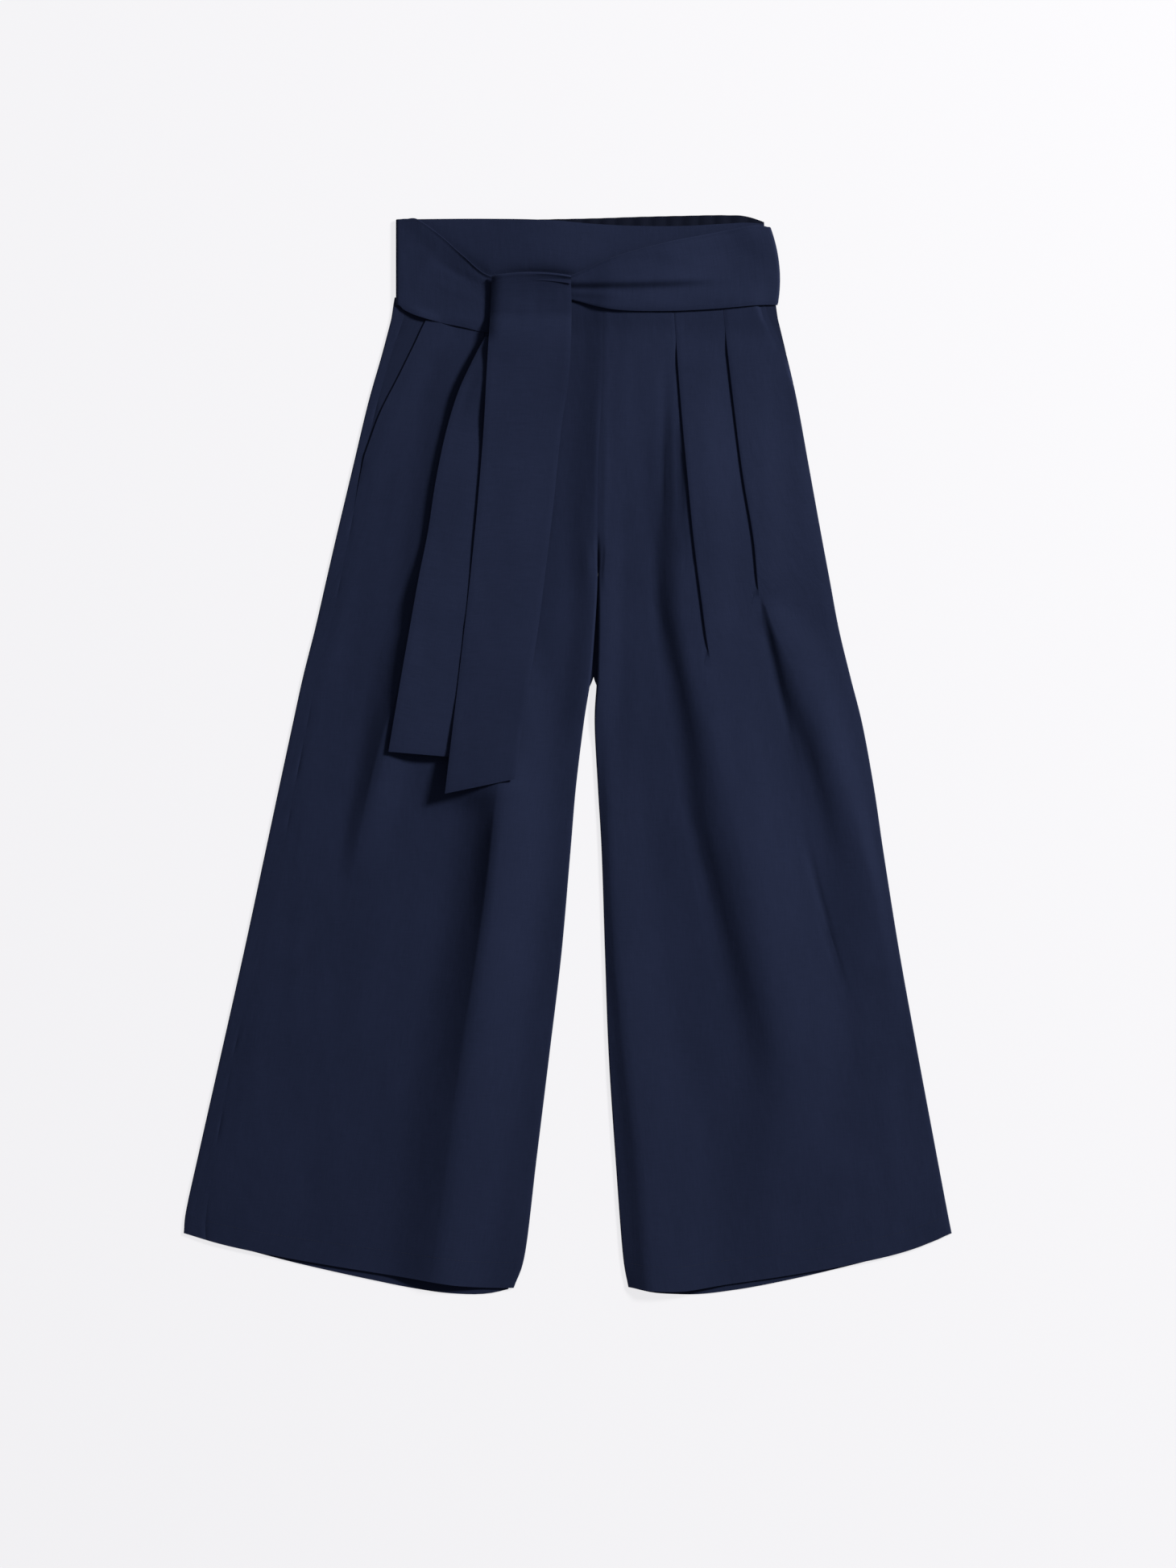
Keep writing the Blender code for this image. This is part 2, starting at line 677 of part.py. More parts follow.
def back_row_left(leg, station):
    inset = np.interp(station, (LEFT_POCKET_END, LEFT_TURN_START), (CLOTH / 2, BACK_INSET))
    x, y = back_inner(leg, station, "back_bow")
    start = leg.side * (x - at_station(leg.outline, "inner_x", station))
    stop = leg.width(station) - inset
    points = [(x, y, FLOOR_Z)] + flat_points(leg, station, start, stop, BACK_POINTS + 1, FLOOR_Z)[1:]
    return list(enumerate(points))


def facing_row_right(leg, station):
    """A section of the right pocket facing, from under the front panel out to the side seam."""
    seam = side_seam(leg, station) + GAP
    inner = mouth_inside(leg, station) + POCKET_UNDERLAP
    total = leg.width(station)
    points = []
    for k in range(FACING_STEPS + 1):
        inside = inner + (seam - inner) * k / FACING_STEPS
        points.append((*leg.place(station, total - inside), side_roll_z(inside)))
    return list(enumerate(points))


def facing_row_left(leg, station):
    inner = np.interp(station, LEFT_OUTER_EDGE["station"], LEFT_OUTER_EDGE["inset"]) + POCKET_UNDERLAP
    total = leg.width(station)
    points = [(*leg.place(station, total - inner + (inner - CLOTH / 2) * k / 2), LAYER_Z) for k in range(3)]
    return list(enumerate(points))


def band_row(xs, side, share, z):
    """A row along a waistband, a share of the way from the waist seam up to its top edge."""
    low = WAIST_Y + GAP
    tops = [smooth(BAND_TOP["x"], BAND_TOP[side], x) for x in xs]
    return [(k, (x, low + (top - low) * share, z)) for k, (x, top) in enumerate(zip(xs, tops))]


def belt_share(rows, x, y):
    """How far down a wrap the point is, from 0 at its top edge to 1 at its bottom one."""
    order = np.argsort(rows["x"])
    top = smooth(rows["x"][order], rows["top"][order], x)
    bottom = smooth(rows["x"][order], rows["bottom"][order], x)
    return (top - y) / (top - bottom)


def wrap_z(rows, fold, x, share):
    """Middle height of a wrap over the waistband, lower edge lifted over the legs."""
    order = np.argsort(rows["x"])
    lift = smooth(rows["x"][order], rows["lift"][order], x)
    ridge = smooth(fold["x"], fold["rise"], x) if fold["x"][0] <= x <= fold["x"][-1] else 0.0
    crest = smooth(fold["x"], fold["share"], x)
    body = 1 - (2 * share - 1) ** 2
    return (
        BELT_LOW_Z
        + BELT_STEP_DOWN * min(max(share, 0.0), 1.0)
        + lift * body
        + max(ridge, 0.0) * fade(abs(share - crest), FOLD_SHARE)
    )


def wrap_rows(rows, fold, side, across_count, along_count):
    """Rows along a wrap, each from the side, where it turns down to the floor, to under the knot."""
    count = len(rows["x"])
    result = []
    for j in range(across_count + 1):
        share = j / across_count
        points = []
        for k in range(along_count + 1):
            station = (count - 1) * k / along_count
            top, bottom = at_station(rows, "top", station), at_station(rows, "bottom", station)
            bulge = at_station(rows, "bulge", station) * (1 - 4 * (share - BULGE_SHARE) ** 2)
            x = at_station(rows, "x", station) + side * bulge
            points.append((x, top + (bottom - top) * share, wrap_z(rows, fold, x, share)))
        edge_x, edge_y, edge_z = points[0]
        turned = []
        radius = edge_z - BELT_SIDE_END
        for k in range(TURN_STEPS + 1):
            angle = math.pi / 2 * k / TURN_STEPS
            turned.append(
                (
                    edge_x - side * radius * (1 - math.sin(angle)),
                    edge_y,
                    edge_z - radius * (1 - math.cos(angle)),
                )
            )
        turned.append((edge_x, edge_y, BELT_SIDE_END - BELT_SIDE_DROP))
        turned.reverse()
        inside = [p for p in points if side * (edge_x - p[0]) > radius + BELT_TURN_CLEAR]
        result.append(list(enumerate(turned + inside)))
    return result


def shifted(grid, combine):
    """The grid with each cell combined with its eight neighbours."""
    wide = np.pad(grid, 1, mode="edge")
    rows, columns = grid.shape
    return combine([wide[i : i + rows, j : j + columns] for i in range(3) for j in range(3)], axis=0)


def draped(height_at):
    """The middle height of a belt end over height_at: the greatest height within reach, then smoothed."""
    xs = np.arange(DRAPE_X[0], DRAPE_X[1], DRAPE_CELL)
    ys = np.arange(DRAPE_Y[0], DRAPE_Y[1], DRAPE_CELL)
    grid = np.array([[height_at(x, y) for x in xs] for y in ys])
    for _ in range(DRAPE_REACH):
        grid = shifted(grid, np.max)
    for _ in range(DRAPE_REACH):
        grid = shifted(grid, np.mean)

    def read(x, y):
        column, row = (x - xs[0]) / DRAPE_CELL, (y - ys[0]) / DRAPE_CELL
        j, i = int(column), int(row)
        right, up = column - j, row - i
        lower = grid[i, j] * (1 - right) + grid[i, j + 1] * right
        upper = grid[i + 1, j] * (1 - right) + grid[i + 1, j + 1] * right
        return lower * (1 - up) + upper * up + BELT_CLEARANCE + BELT / 2

    return read


def right_leg_top(x, y):
    """Upper side of the right front panel under the belt's ends."""
    pleats = sum(RIGHT.pleat_height(x, y, name, rows) for name, rows in PLEATS.items())
    return LAYER_Z + CLOTH / 2 + RIGHT.fold_height(x, y) + pleats


def end_span(rows, y):
    """Left and right x of a belt end at a height, or None above and below it."""
    if not rows["left_y"][-1] - DRAPE_CELL <= y <= rows["left_y"][0] + DRAPE_CELL:
        return None
    left = smooth(-rows["left_y"], rows["left_x"], -y)
    right = smooth(-rows["right_y"], rows["right_x"], -y)
    return left, right


def under_front_end(rear_z):
    """Upper side of whatever lies under the belt's front end: the leg, the rear end and the wraps."""

    def top_at(x, y):
        top = right_leg_top(x, y)
        span = end_span(REAR_END, y)
        if span and span[0] - DRAPE_CELL < x < span[1] + DRAPE_CELL:
            top = max(top, rear_z(x, y) + BELT / 2)
        if y > RIGHT_WRAP_LOW_Y:
            share = min(max(belt_share(RIGHT_WRAP, x, y), 0.0), 1.0)
            top = max(top, wrap_z(RIGHT_WRAP, RIGHT_WRAP_FOLD, x, share) + BELT / 2)
        if y > LEFT_WRAP_LOW_Y:
            share = min(max(belt_share(LEFT_WRAP, x, y), 0.0), 1.0)
            top = max(top, wrap_z(LEFT_WRAP, LEFT_WRAP_FOLD, x, share) + BELT / 2)
        return top

    return top_at


def end_rows(rows, z_at, across_count, down_count, knot=False):
    """Rows down a belt end, side by side across it."""
    count = len(rows["left_x"])
    result = []
    for j in range(across_count + 1):
        share = j / across_count
        points = []
        for k in range(down_count + 1):
            station = (count - 1) * k / down_count
            left = np.array([at_station(rows, "left_x", station), at_station(rows, "left_y", station)])
            right = np.array([at_station(rows, "right_x", station), at_station(rows, "right_y", station)])
            x, y = left + (right - left) * share
            points.append((x, y, z_at(x, y)))
        if knot:
            points = knot_turn(points[0]) + points[1:]
        result.append(list(enumerate(points)))
    return result


def knot_turn(top):
    """The fold over the knot: from the tuck behind it, up round the fold and onto the front."""
    x, y, z = top
    turned = [(x, y - KNOT_TUCK, z - 2 * KNOT_TURN)]
    for k in range(TURN_STEPS + 1):
        angle = math.pi * k / TURN_STEPS
        turned.append((x, y - KNOT_TURN + KNOT_TURN * math.sin(angle), z - KNOT_TURN * (1 + math.cos(angle))))
    return turned


def moved(rows, across, distances):
    """Each row's points moved out by a distance, with mitred corners along the row."""
    across = np.array(across, float)
    result = []
    for row, reach in zip(rows, distances):
        points = np.array([p for _, p in row])
        steps = np.diff(points, axis=0)
        normals = np.cross(steps, across)
        normals /= np.linalg.norm(normals, axis=1)[:, None]
        first = np.vstack([normals[:1], normals])
        second = np.vstack([normals, normals[-1:]])
        middle = first + second
        middle /= np.linalg.norm(middle, axis=1)[:, None]
        mitre = 1 / np.maximum((middle * first).sum(axis=1), 0.5)
        result.append(points + middle * (mitre * reach)[:, None])
    return result


def between(keys_a, keys_b, first_a, first_b):
    """Faces between two rows: quads where their keys agree, and triangles where one has more points."""
    i = j = 0
    faces = []
    while i < len(keys_a) - 1 or j < len(keys_b) - 1:
        more_a, more_b = i < len(keys_a) - 1, j < len(keys_b) - 1
        if more_a and more_b and abs(keys_a[i + 1] - keys_b[j + 1]) < 1e-6:
            faces.append((first_a + i, first_a + i + 1, first_b + j + 1, first_b + j))
            i, j = i + 1, j + 1
        elif more_a and (not more_b or keys_a[i + 1] < keys_b[j + 1]):
            faces.append((first_a + i, first_a + i + 1, first_b + j))
            i += 1
        else:
            faces.append((first_a + i, first_b + j + 1, first_b + j))
            j += 1
    return faces


def wall(name, rows, across, colour, thickness=CLOTH, raised=None):
    """A closed cloth wall round rows of middle points. raised gives extra height on its upper side."""
    keys = [[k for k, _ in row] for row in rows]
    lower = [np.full(len(row), -thickness / 2) for row in rows]
    upper = [np.full(len(row), thickness / 2) for row in rows]
    if raised:
        upper = [u + np.array([raised(*p) for _, p in row]) for u, row in zip(upper, rows)]
    sides = moved(rows, across, upper) + moved(rows, across, lower)
    points = np.vstack(sides) - MIDDLE
    starts = np.cumsum([0] + [len(side) for side in sides])
    count = len(rows)
    faces = []
    for base, flip in ((0, False), (count, True)):
        for i in range(count - 1):
            for face in between(keys[i], keys[i + 1], starts[base + i], starts[base + i + 1]):
                faces.append(face[::-1] if flip else face)
    rim = [starts[0] + k for k in range(len(rows[0]))]
    rim += [starts[i] + len(rows[i]) - 1 for i in range(1, count)]
    rim += [starts[count - 1] + k for k in range(len(rows[-1]) - 2, -1, -1)]
    rim += [starts[i] for i in range(count - 2, 0, -1)]
    offset = starts[count]
    faces += [(a, a + offset, b + offset, b) for a, b in zip(rim, rim[1:] + rim[:1])]
    mesh = bpy.data.meshes.new(name)
    mesh.from_pydata((points * MM).tolist(), [], [[int(v) for v in face] for face in faces])
    work = bmesh.new()
    work.from_mesh(mesh)
    bmesh.ops.triangulate(work, faces=work.faces)
    bmesh.ops.recalc_face_normals(work, faces=work.faces)
    work.to_mesh(mesh)
    work.free()
    mesh.shade_smooth()
    mesh.set_sharp_from_angle(angle=math.radians(SHARP_DEGREES))
    mesh.materials.append(cloth_material(name, colour))
    piece = bpy.data.objects.new(name, mesh)
    bpy.context.scene.collection.objects.link(piece)
    return piece


def cloth_material(name, colour):
    material = bpy.data.materials.new(name + "_cloth")
    material.use_nodes = True
    shader = material.node_tree.nodes["Principled BSDF"]
    shader.inputs["Base Color"].default_value = colour
    shader.inputs["Roughness"].default_value = 0.85
    shader.inputs["Metallic"].default_value = 0.0
    return material


def make_legs():
    left_rows = [front_row(LEFT, s, LEFT_COLUMNS, left_outer_edge) for s in STATIONS]
    right_rows = [front_row(RIGHT, s, RIGHT_COLUMNS, right_outer_edge) for s in STATIONS]
    wall("front_leg_left", left_rows, (0, 1, 0), NAVY)
    wall("front_leg_right", right_rows, (0, -1, 0), NAVY)
    wall("back_leg_left", [back_row_left(LEFT, s) for s in STATIONS], (0, 1, 0), NAVY)
    wall("back_leg_right", [back_row_right(RIGHT, s) for s in STATIONS], (0, -1, 0), NAVY)


def make_pockets():
    right = np.linspace(0.0, RIGHT_POCKET_END, RIGHT_POCKET_ROWS)
    wall("pocket_facing_right", [facing_row_right(RIGHT, s) for s in right], (0, 1, 0), NAVY_SHADED)
    left = np.linspace(0.0, LEFT_POCKET_END, LEFT_POCKET_ROWS)
    wall("pocket_facing_left", [facing_row_left(LEFT, s) for s in left], (0, 1, 0), NAVY_SHADED)


def make_waistband():
    start = RIGHT_WRAP["x"][0] + RIGHT_BAND_INSET
    stop = LEFT_WRAP["x"][0] - LEFT_BAND_INSET
    front_xs = np.linspace(start, stop, FRONT_BAND_POINTS)
    back_xs = np.linspace(start, stop, 2 * GATHERS + 1)
    front = [band_row(front_xs, "front", share, FRONT_BAND_Z) for share in BAND_ROWS]
    back = [band_row(back_xs, "back", share, FLOOR_Z) for share in BAND_ROWS]
    pitch = back_xs[1] - back_xs[0]

    def gathered(x, y, z):
        return GATHER_RISE * (round((x - start) / pitch) % 2)

    wall("waistband_front", front, (0, 1, 0), NAVY)
    wall("waistband_back", back, (0, 1, 0), NAVY_SHADED, raised=gathered)


def make_belt():
    right = wrap_rows(RIGHT_WRAP, RIGHT_WRAP_FOLD, -1, across_count=8, along_count=14)
    left = wrap_rows(LEFT_WRAP, LEFT_WRAP_FOLD, 1, across_count=8, along_count=18)
    wall("belt_wrap_right", right, (0, 1, 0), NAVY, BELT)
    wall("belt_wrap_left", left, (0, -1, 0), NAVY, BELT)
    rear_z = draped(lambda x, y: right_leg_top(x, y) + REAR_END_LIFT)
    lying_z = draped(under_front_end(rear_z))

    def front_z(x, y):
        return lying_z(x, y) + 2 * KNOT_TURN * fade(KNOT_LOW_Y - y, KNOT_FADE)

    rear = end_rows(REAR_END, rear_z, across_count=6, down_count=22)
    front = end_rows(FRONT_END, front_z, across_count=7, down_count=26, knot=True)
    wall("belt_end_rear", rear, (1, 0, 0), NAVY, BELT)
    wall("belt_end_front", front, (1, 0, 0), NAVY, BELT)


def main():
    for leftover in list(bpy.data.objects):
        bpy.data.objects.remove(leftover, do_unlink=True)
    make_legs()
    make_pockets()
    make_waistband()
    make_belt()


main()
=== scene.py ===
"""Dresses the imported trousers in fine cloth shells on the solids' form, and adds creases, stitches and light.

Sizes in the tables are in millimetres, in the same plan as the model's source: the waist is towards +Y, the
wearer's right leg is at -X, and the floor is z = 0.
"""

import math

import bmesh
import bpy
import numpy as np
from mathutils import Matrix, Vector, noise


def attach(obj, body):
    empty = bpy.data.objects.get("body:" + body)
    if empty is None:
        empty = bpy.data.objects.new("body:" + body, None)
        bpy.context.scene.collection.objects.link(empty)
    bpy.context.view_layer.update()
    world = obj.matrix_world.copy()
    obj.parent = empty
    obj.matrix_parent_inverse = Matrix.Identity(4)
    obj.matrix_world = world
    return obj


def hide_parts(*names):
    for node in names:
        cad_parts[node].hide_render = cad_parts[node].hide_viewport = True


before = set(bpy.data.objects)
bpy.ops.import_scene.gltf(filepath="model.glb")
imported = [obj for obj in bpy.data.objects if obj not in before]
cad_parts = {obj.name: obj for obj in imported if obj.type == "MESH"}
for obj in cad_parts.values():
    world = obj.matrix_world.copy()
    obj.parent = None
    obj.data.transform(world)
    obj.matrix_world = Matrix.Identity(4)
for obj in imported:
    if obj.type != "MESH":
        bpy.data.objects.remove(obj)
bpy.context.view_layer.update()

MM = 0.001

# The point of the plan that is the model's origin
MIDDLE = (-0.25, 1.0, 0.0)

# Everything uneven is read from the same noise, at places above this one
SEED = 17.3

# Points on each table's smooth curve, and points tried when stations are spread along a leg
CURVE_POINTS = 1500
STATION_POINTS = 800

# Cloth and gaps
CLOTH = 1.0
BELT = 1.6
SHELL = 0.7
BELT_SHELL = 1.3
GAP = 0.3
FLOOR_Z = CLOTH / 2
LAYER_Z = 2.6
BELT_CLEARANCE = 0.6

# Turned edges of the leg panels
TURN_LENGTH = 3.6
TURN_TUCK = 1.6
TURN_STEPS = 6
SIDE_ROLL_HEIGHT = 1.3
LEAST_TURN = 0.5
LEFT_EDGE_TOP = 3.0
EDGE_FADE = 24.0
EDGE_CREASE_FADE = 3.0
NARROWEST = 0.5
BACK_INSET = 5.2
BACK_POINTS = 40
BACK_CREASE_FADE = 8.0
SEAM_SHARES = (0.3, 0.55, 0.75, 0.9, 1.0)

# Stations along the legs: the sections of the outline tables are numbered from 0 at the waist
CROTCH_STATION = 5.0
INSEAM_STATION = 7.0
INSEAM_BLEND = 0.5
FIND_STEPS = 6
ROW_SPACING = 4.0

# Knife pleats: three layers one layer pitch apart, joined by hairpin turns
HAIRPIN = 0.52
HAIRPIN_STEPS = 5
PLEAT_RISE = 4 * HAIRPIN
PLEAT_MARGIN = 2.0
PLEAT_FADE = 32.0
PLEAT_OPEN = -8.0

# Height at which each pleat leaves the stitching that holds it shut below the waist, how fast it opens from
# there and closes at its foot, how thin it is where it is shut, and the points over its hidden layers
PLEAT_TOPS = {"pleat_a": 396.0, "pleat_b": 405.0}
PLEAT_TOP_FADE = 30.0
PLEAT_FOOT = 14.0
PLEAT_SHUT = 0.03
OVER_SHARES = (0.2, 0.4, 0.6, 0.8, 1.0)

# Points of neighbouring sections are joined where their keys agree. Each named line has a whole number, and a
# plain point on it, the points of a pleat's turns and those over the pleat add their own shares to it.
KEY_STEPS = 20
PLAIN_KEY = 0.4
TURN_KEY = 0.05
OVER_KEY = 0.7
OVER_KEY_SPAN = 0.2
SAME_KEY = 1e-6

# Pockets
POCKET_UNDERLAP = 9.0
POCKET_LIFT = CLOTH + 2 * GAP
RIGHT_POCKET_END = 2.75
MOUTH_END = 0.5
LEFT_POCKET_END = 1.0
LEFT_TURN_START = 1.5
POCKET_EDGE_POINTS = (0.0, 1.2, 3.0, 6.0, POCKET_UNDERLAP + CLOTH)
RIGHT_FACING_POINTS = 14
LEFT_FACING_POINTS = 6

# Waistband
WAIST_Y = 423.3
GATHERS = 22
GATHER_RISE = 1.1
RIGHT_BAND_INSET = 3.4
LEFT_BAND_INSET = 9.4
FRONT_BAND_Z = CLOTH + GATHER_RISE + GAP + CLOTH / 2

# Tie belt
BELT_LOW_Z = FRONT_BAND_Z + CLOTH / 2 + GAP + BELT / 2
BELT_SIDE_DROP = 0.8
BELT_SIDE_END = BELT / 2 + GAP + BELT_SIDE_DROP
BELT_TURN = BELT_LOW_Z - BELT_SIDE_END
BELT_TURN_CLEAR = 3.0
BULGE_SHARE = 0.67
KNOT_TURN = 0.95
KNOT_TUCK = 7.0
KNOT_LOW_Y = 428.0
KNOT_FADE = 100.0
KNOT_ARCH = 3.2
REAR_END_LIFT = 1.2
DRAPE_CELL = 4.0
DRAPE_REACH = 3
DRAPE_X = (-210.0, 35.0)
DRAPE_Y = (-80.0, 475.0)


def cubic(keys, values, fine):
    """A smooth curve through values at keys, read at each of fine."""
    i = np.clip(np.searchsorted(keys, fine) - 1, 0, len(keys) - 2)
    span = keys[i + 1] - keys[i]
    t = np.clip((fine - keys[i]) / span, 0.0, 1.0)
    slopes = np.gradient(values, keys)
    rest = (2 * t**3 - 3 * t**2 + 1) * values[i] + (3 * t**2 - 2 * t**3) * values[i + 1]
    return rest + (t**3 - 2 * t**2 + t) * slopes[i] * span + (t**3 - t**2) * slopes[i + 1] * span


class Table:
    """Rows of sizes under named columns, read smoothly by the first column or by the row number."""

    def __init__(self, columns, *rows, numbered=False):
        names = columns.split()
        values = np.array(rows, float)
        keys = np.arange(len(rows), dtype=float) if numbered else values[:, 0]
        order = np.argsort(keys)
        self.low, self.high, self.count = keys.min(), keys.max(), len(rows)
        self.columns = dict(zip(names, values.T))
        self.fine = np.linspace(self.low, self.high, CURVE_POINTS)
        self.curves = {n: cubic(keys[order], values[order, i], self.fine) for i, n in enumerate(names)}

    def at(self, name, key):
        return np.interp(key, self.fine, self.curves[name])

    def straight(self, name, by, key):
        """The column read along straight lines by another column."""
        order = np.argsort(self.columns[by])
        return np.interp(key, self.columns[by][order], self.columns[name][order])


RIGHT_OUTLINE = Table(
    "outer_x outer_y inner_x inner_y bow back_bow wrap",
    (-163.5, 423.3, 32.7, 423.3, 0, 0, 13),
    (-175.5, 377.7, 32.7, 377.7, 0, 0, 9),
    (-188.5, 332, 31.5, 332, 0, 0, 9),
    (-203, 271.3, 28.3, 271.3, 0, 0, 9),
    (-217.5, 210.5, 27.7, 210.5, 0, 0, 12),
    (-228, 165, 28.2, 168, 0, 0, 13.5),
    (-238.5, 119.3, 25.5, 119.3, 0, 0, 14),
    (-250, 73.7, 21.7, 73, 0, 0, 13),
    (-260, 28, 15.2, 31, 0, 0, 14),
    (-273, -32.5, 7.6, -31, 0, 0, 15),
    (-286, -93.5, 2.3, -93.5, 0, 0, 16.5),
    (-305.5, -184.5, -6.1, -188.5, 0.5, 0.5, 16),
    (-326, -276, -17.5, -283.5, 2, 3, 12),
    (-346.5, -367, -29.6, -382, 4, 7, 15),
    (-360, -428, -40.3, -469.7, 6.5, 14, 19),
    (-362.5, -450.7, -51, -502.4, 7.2, 16.1, 21),
    numbered=True,
)
LEFT_OUTLINE = Table(
    "outer_x outer_y inner_x inner_y bow back_bow",
    (195.5, 423.3, 32.7, 423.3, 0, 0),
    (206.5, 377.7, 32.7, 377.7, 0, 0),
    (216.5, 332, 31.5, 332, 0, 0),
    (227.5, 271.3, 28.3, 271.3, 0, 0),
    (238.5, 210.5, 27.7, 210.5, 0, 0),
    (247, 165, 28.5, 168, 0, 0),
    (255.5, 119.3, 28.5, 119.3, 0, 0),
    (266.5, 73.7, 27.4, 73, 0, 0),
    (278, 28, 25.2, 31, 0, 0),
    (289, -32.5, 28.3, -31, 0, 0),
    (298, -93.5, 31.9, -93.5, 0, 0),
    (312.5, -184.5, 35, -188.5, 1, 1),
    (329, -276, 38.5, -283.5, 4, 5),
    (346, -367, 45, -382, 8, 10),
    (357.5, -428, 51.7, -469.7, 12.5, 17.8),
    (362, -450.7, 57, -501.6, 13.7, 19.8),
    numbered=True,
)
CENTRE_BACK = Table("station x", (5, 28.35), (6, 26.6), (7, 24.2))
INNER_EDGE = Table(
    "station turn end_z",
    (0, 0, 1.8), (2, 0, 2.2), (3, 0, 3.2), (4, 0, 4.4), (5, 90, 2.1), (7.4, 90, 2.1), (8.4, 180, 0.5),
)
LEFT_OUTER_EDGE = Table(
    "station turn end_z inset",
    (0, 0, 3.2, 12), (1, 0, 3.2, 0.5), (1.5, 60, 2.6, 0), (2, 180, 0.5, 0),
)
RIGHT_MOUTH = Table(
    "y x",
    (423.3, -125), (412.5, -132), (387, -144.5), (359.5, -158), (318.5, -178.5), (298, -186), (280, -192.5),
)
LEFT_LINES = Table(
    "y strip foot crest pleat_a pleat_b dip swell",
    (423, 42, 82, 94, 100, 146, 158, 168),
    (340, 42, 82, 101, 106, 155.5, 175, 192),
    (260, 38, 77, 107, 113, 165.5, 182.5, 200),
    (200, 36.5, 75.5, 107, 119, 175.5, 183, 190),
    (150, 37, 79, 105, 125.5, 180, 182.5, 185),
    (90, 36.5, 89, 114.5, 134, 187, 196, 208),
    (20, 35, 101, 134.5, 152, 202.5, 212, 237.5),
    (-60, 38.5, 113.5, 153.5, 172.5, 216, 229, 267),
    (-120, 41, 127, 169, 190, 231, 240, 284),
    (-200, 46, 145, 184.5, 216.5, 256, 264.5, 299),
    (-270, 53, 157.5, 198, 235.5, 277.5, 286.5, 314),
    (-380, 66, 152, 204, 251, 294, 303, 327),
    (-515, 77, 158, 210, 262, 306, 315.5, 338),
)
RIGHT_LINES = Table(
    "y groove pleat_a a_foot pleat_b b_foot",
    (423, 14.5, -32.5, -49.5, -74.5, -87.5),
    (340, 14.5, -34, -51, -89, -102.5),
    (260, 14.5, -36.5, -54, -108, -121.5),
    (200, 10.5, -40, -58.5, -119.5, -134),
    (150, 8.5, -44.5, -63, -130.5, -146),
    (90, 5.5, -49.5, -67, -149.5, -164),
    (20, 0.5, -58.5, -75, -172.5, -187),
    (-60, -5.5, -68.5, -87.5, -192, -206.5),
    (-120, -10, -75, -96, -203, -217.5),
    (-200, -17, -86, -108.5, -213.5, -229.5),
    (-270, -25, -97, -122.5, -224, -241),
    (-380, -39, -111, -140.5, -235.5, -254.5),
    (-515, -67, -128.5, -161, -247, -268.5),
)
PLEAT_A = Table("y depth", (423, 22), (322, 19), (260, 16), (200, 12), (150, 8), (110, 3), (80, -9))
PLEAT_B = Table("y depth", (423, 21), (330, 17), (260, 13), (200, 8), (165, 2), (140, -9))
BAND_TOP = Table(
    "x front back",
    (-162, 504.8, 503.8), (-80, 505, 504), (-11, 503, 505.2), (27, 500, 506), (62, 498.6, 507.2),
    (111, 498.6, 508.4), (148, 500.6, 508.9), (166, 501.6, 508.2), (192, 500, 500),
)
RIGHT_WRAP = Table(
    "x top bottom bulge",
    (-161.5, 504.7, 423.8, 0), (-152, 505, 418, 0), (-140.5, 504, 413, 0), (-118.5, 488, 407, 0),
    (-99, 470.5, 403, 0), (-74.5, 451.5, 398, 0), (-40, 449, 401, 0),
    numbered=True,
)
LEFT_WRAP = Table(
    "x top bottom bulge",
    (194.5, 497.5, 423.9, 5), (177, 498.5, 423.5, 4), (133, 490, 419.5, 2), (87.5, 480.5, 417.5, 0),
    (42, 467.5, 419, 0), (5.5, 451.5, 428, 0), (-12, 449.5, 430, 0), (-30, 449, 431.5, 0),
    numbered=True,
)
FRONT_END = Table(
    "left_x left_y right_x right_y",
    (-71.5, 449.9, 3, 449.2), (-73.5, 408, 3.5, 408), (-76.5, 355, 1, 355), (-79, 309, -6, 309),
    (-84.5, 241, -13, 241), (-92, 165, -21.5, 170), (-99, 104, -29, 112), (-108, 28, -41, 40),
    (-115.5, -36.5, -49.5, -22.8),
    numbered=True,
)
REAR_END = Table(
    "left_x left_y right_x right_y",
    (-78, 393, -45, 391), (-90, 370, -46, 369), (-103.5, 340, -44, 338), (-115, 302, -44, 300),
    (-124.5, 256, -49.5, 256), (-131.5, 210.5, -58.5, 210.5), (-140.5, 165, -69, 163),
    (-151.3, 104, -82, 101), (-160.5, 51, -93, 46), (-168.7, 3, -104.5, -2.5),
    numbered=True,
)

# In the scene the seams are closed: the centre seams meet in a shallow groove, and the front band laps over
# the legs, whose fronts reach a little way up under the belt
SEAM_GAP = -0.1
SEAM_GROOVE = 0.1
SEAM_GROOVE_WIDTH = 1.5
BAND_LAPS = {"front": -2.0, "back": 0.05}
FRONT_REACH = 8.0
REACH_STATIONS = 0.3

# What each front's sections pass from the inner edge to the outer one. "+3" is three points spread between.
LEFT_COLUMNS = "+3 strip +14 foot +5 crest +5 pleat_a +8 pleat_b +2 dip +5 swell +5".split()
RIGHT_COLUMNS = "+3 groove +9 pleat_a +7 a_foot +12 pleat_b +5 b_foot +14".split()


def folds(**tables):
    return {name: Table("y rise inward outward in_crisp out_crisp", *rows) for name, rows in tables.items()}


